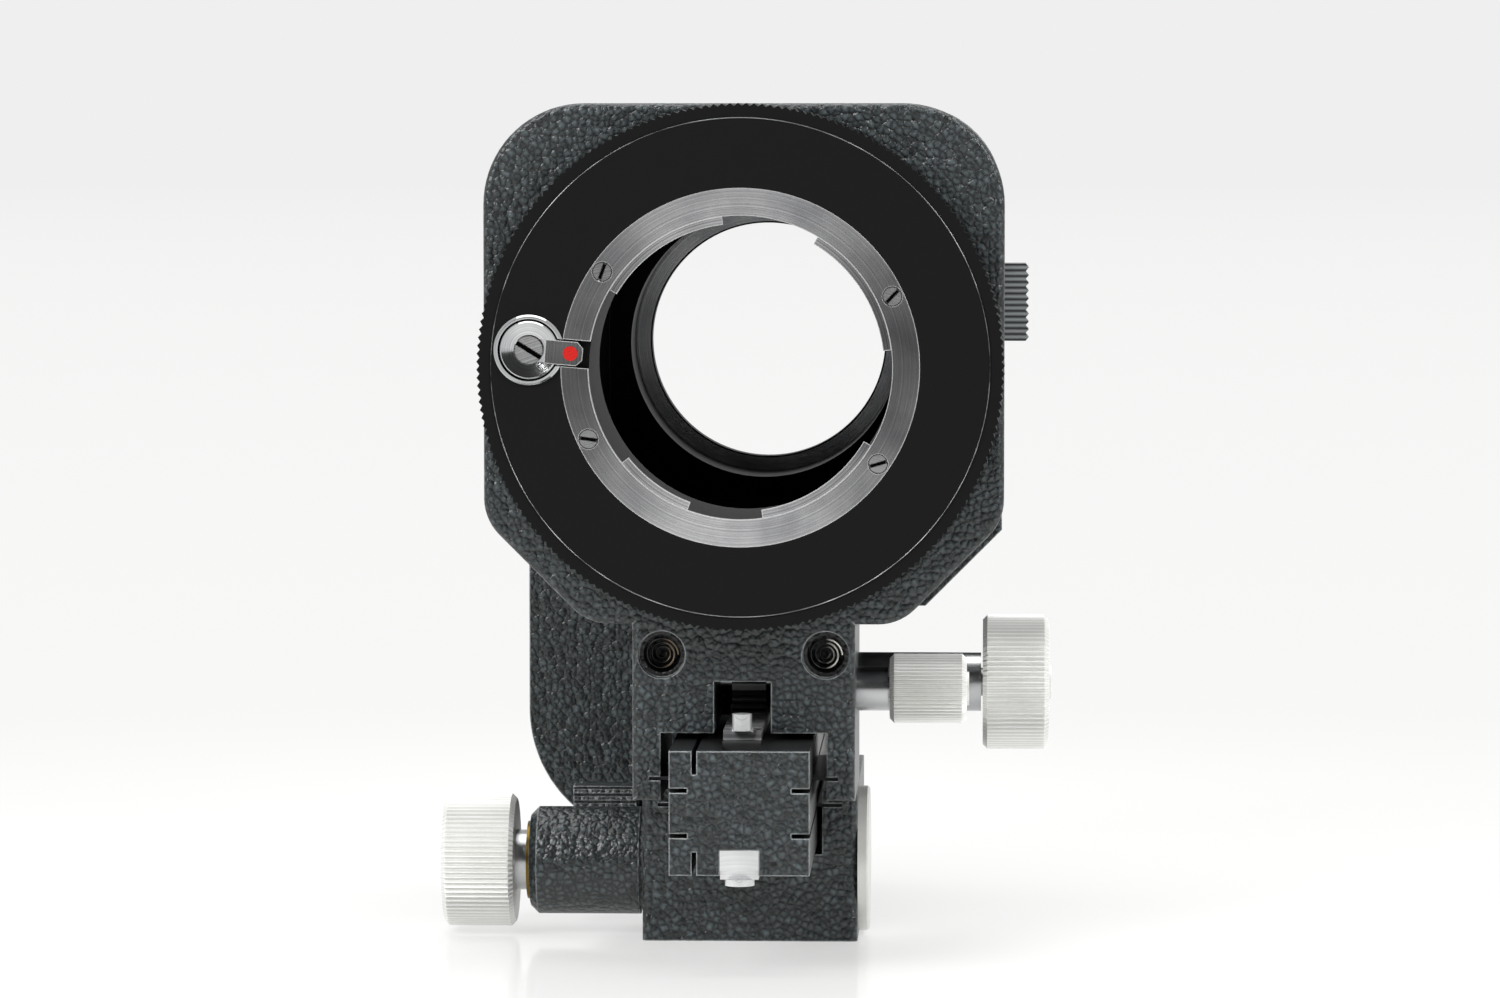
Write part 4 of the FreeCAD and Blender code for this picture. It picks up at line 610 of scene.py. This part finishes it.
# Springs
# Two small coils of round wire: one under the lens lock's button and one behind the rotation
# release. Each is squeezed between the button that it carries and the part that it rests on.
WIRE_SIDES = 10
COIL_STEPS = 28
COIL_TURNS = 3
WIRE_LIMIT = 0.0004
ALONG_X = Matrix(((0, 0, 1, 0), (1, 0, 0, 0), (0, 1, 0, 0), (0, 0, 0, 1)))
spring_wire = turned_metal("SpringWire", "#8E8F90", "#5A5B5C", SCREW_MARK, 0.25, (0, 0, 0), (1, 1, 1))
for name, button, rest, axis_index, stand in (("lock_spring", "lens_lock", "lens_ring", 1, ALONG_Y),
                                              ("release_spring", "rotation_release", "rail", 0, ALONG_X)):
    low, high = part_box(name)
    one, other = (low + high) / 2, (low + high) / 2
    one[axis_index], other[axis_index] = low[axis_index], high[axis_index]
    length = high[axis_index] - low[axis_index]
    wire = min(length / (2 * COIL_TURNS + 2), WIRE_LIMIT)
    radius = (high.z - low.z) / 2 - wire
    start = one.copy()
    start[axis_index] += wire
    coil = grown(name + "_coil", wound_wire, Matrix.Translation(start) @ stand, turns=COIL_TURNS,
                 start_radius=radius, end_radius=radius, length=length - 2 * wire, steps=COIL_STEPS,
                 wire=wire, sides=WIRE_SIDES, material=spring_wire)
    fitted(coil, None)
    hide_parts(name)
    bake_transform(coil)

# Index dot
# A drop of red enamel in the tongue.
enamel = black_coat("RedEnamel", "#B3150F", 0.28, BLACK_GRAIN)
finish_with(enamel, "index_dot")

# Bellows
# Leather-grained cloth folded into pleats, with its corners turned in, glued to a frame at each
# end. It spans the extension slide, between the two standards.
PLEATS = 16
CLOTH_CORNER = 0.009
CLOTH_FOLD = 0.0068
CLOTH_WALL = 0.0007
CLOTH_MARGIN = 0.0001
FOLD_ROWS = 6
CREASE_SOFTNESS = 0.35
WELD = 0.000002
CLOTH_GRAIN = 0.0007
CLOTH_RELIEF = 0.0001
CLOTH_WEAR = 1 / 60
cloth_low, cloth_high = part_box("bellows")
bellows_centre = (cloth_low + cloth_high) / 2
leather, tree, shader = material("GrainedBellowsCloth")
where = add(tree, "ShaderNodeTexCoord")
grain = add(tree, "ShaderNodeTexVoronoi", {"Vector": (where, "Object")}, {"Scale": 1 / CLOTH_GRAIN})
pores = add(tree, "ShaderNodeBump", {"Height": (grain, "Distance")}, {"Strength": 0.4,
                                                                      "Distance": CLOTH_RELIEF})
tree.links.new(pores.outputs["Normal"], shader.inputs["Normal"])
wear = add(tree, "ShaderNodeTexNoise", {"Vector": (where, "Object")}, {"Scale": 1 / CLOTH_WEAR,
                                                                       "Detail": 4.0})
shade = add(tree, "ShaderNodeMix", {"Factor": (wear, "Fac")}, data_type="RGBA")
shade.inputs[6].default_value = linear("#131313")
shade.inputs[7].default_value = linear("#1E1E1F")
tree.links.new(shade.outputs[2], shader.inputs["Base Color"])
shader.inputs["Roughness"].default_value = 0.62

pleated, given = sized_tree("PleatedCloth", length="Float", width="Float", corner="Float", folds="Float",
                            fold_depth="Float", rows="Int", wall="Float", softness="Float",
                            material="Material")
end = add(pleated, "ShaderNodeCombineXYZ", {"Y": (given, "length")})
line = add(pleated, "GeometryNodeCurvePrimitiveLine", {"End": (end, "Vector")})
spine = add(pleated, "GeometryNodeResampleCurve", {"Curve": (line, "Curve"), "Count": (given, "rows")})
square = add(pleated, "GeometryNodeCurvePrimitiveQuadrilateral",
             {"Width": (given, "width"), "Height": (given, "width")})
octagon = add(pleated, "GeometryNodeFilletCurve", {"Curve": (square, "Curve"), "Radius": (given,
                                                                                          "corner")},
              {"Count": 1}, mode="POLY")
sleeve = add(pleated, "GeometryNodeCurveToMesh",
             {"Curve": (spine, "Curve"), "Profile Curve": (octagon, "Curve")})
where = add(pleated, "GeometryNodeInputPosition")
split = add(pleated, "ShaderNodeSeparateXYZ", {"Vector": (where, "Position")})
share = add(pleated, "ShaderNodeMath", {0: (split, "Y"), 1: (given, "length")}, operation="DIVIDE")
phase = add(pleated, "ShaderNodeMath", {0: (share, "Value"), 1: (given, "folds")}, operation="MULTIPLY")
swing = add(pleated, "ShaderNodeMath", {0: (phase, "Value")}, {1: 1.0}, operation="PINGPONG")
arc = add(pleated, "ShaderNodeMath", {0: (swing, "Value")}, {1: math.pi}, operation="MULTIPLY")
wave = add(pleated, "ShaderNodeMath", {0: (arc, "Value")}, operation="COSINE")
round_fold = add(pleated, "ShaderNodeMath", {0: (wave, "Value")}, {1: -0.5, 2: 0.5},
                 operation="MULTIPLY_ADD")
eased = add(pleated, "ShaderNodeMix",
            {0: (given, "softness"), 2: (swing, "Value"), 3: (round_fold, "Value")})
depth = add(pleated, "ShaderNodeMath", {0: (eased, 0), 1: (given, "fold_depth")}, operation="MULTIPLY")
side_x = add(pleated, "ShaderNodeMath", {0: (split, "X")}, operation="SIGN")
side_z = add(pleated, "ShaderNodeMath", {0: (split, "Z")}, operation="SIGN")
outward = add(pleated, "ShaderNodeCombineXYZ", {"X": (side_x, "Value"), "Z": (side_z, "Value")})
fold = add(pleated, "ShaderNodeVectorMath", {0: (outward, "Vector"), "Scale": (depth, "Value")},
           operation="SCALE")
drawn_in = add(pleated, "ShaderNodeVectorMath", {0: (where, "Position"), 1: (fold, "Vector")},
               operation="SUBTRACT")
outside = add(pleated, "GeometryNodeSetPosition", {0: (sleeve, "Mesh"), "Position": (drawn_in, "Vector")})
thick = add(pleated, "ShaderNodeVectorMath", {0: (outward, "Vector"), "Scale": (given, "wall")},
            operation="SCALE")
lined = add(pleated, "ShaderNodeVectorMath", {0: (where, "Position"), 1: (thick, "Vector")},
            operation="SUBTRACT")
wall = add(pleated, "GeometryNodeExtrudeMesh", {"Mesh": (outside, "Geometry")},
           {"Offset Scale": 0.0, "Individual": False})
inside = add(pleated, "GeometryNodeSetPosition",
             {0: (wall, "Mesh"), "Selection": (wall, "Top"), "Position": (lined, "Vector")})
both = add(pleated, "GeometryNodeJoinGeometry", {0: (outside, "Geometry")})
pleated.links.new(inside.outputs["Geometry"], both.inputs[0])
welded = add(pleated, "GeometryNodeMergeByDistance", {0: (both, "Geometry")}, {"Distance": WELD})
finished(pleated, given, add(pleated, "GeometryNodeSetShadeSmooth", {0: (welded, "Geometry")},
                             {"Shade Smooth": False}))
bellows_cloth = grown("bellows_cloth", pleated,
                      Matrix.Translation((bellows_centre.x, cloth_low.y, bellows_centre.z)),
                      length=cloth_high.y - cloth_low.y,
                      width=cloth_high.x - cloth_low.x - 2 * CLOTH_MARGIN, corner=CLOTH_CORNER,
                      folds=2 * PLEATS, fold_depth=CLOTH_FOLD, rows=2 * PLEATS * FOLD_ROWS + 1,
                      wall=CLOTH_WALL, softness=CREASE_SOFTNESS, material=leather)
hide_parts("bellows")
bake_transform(bellows_cloth)
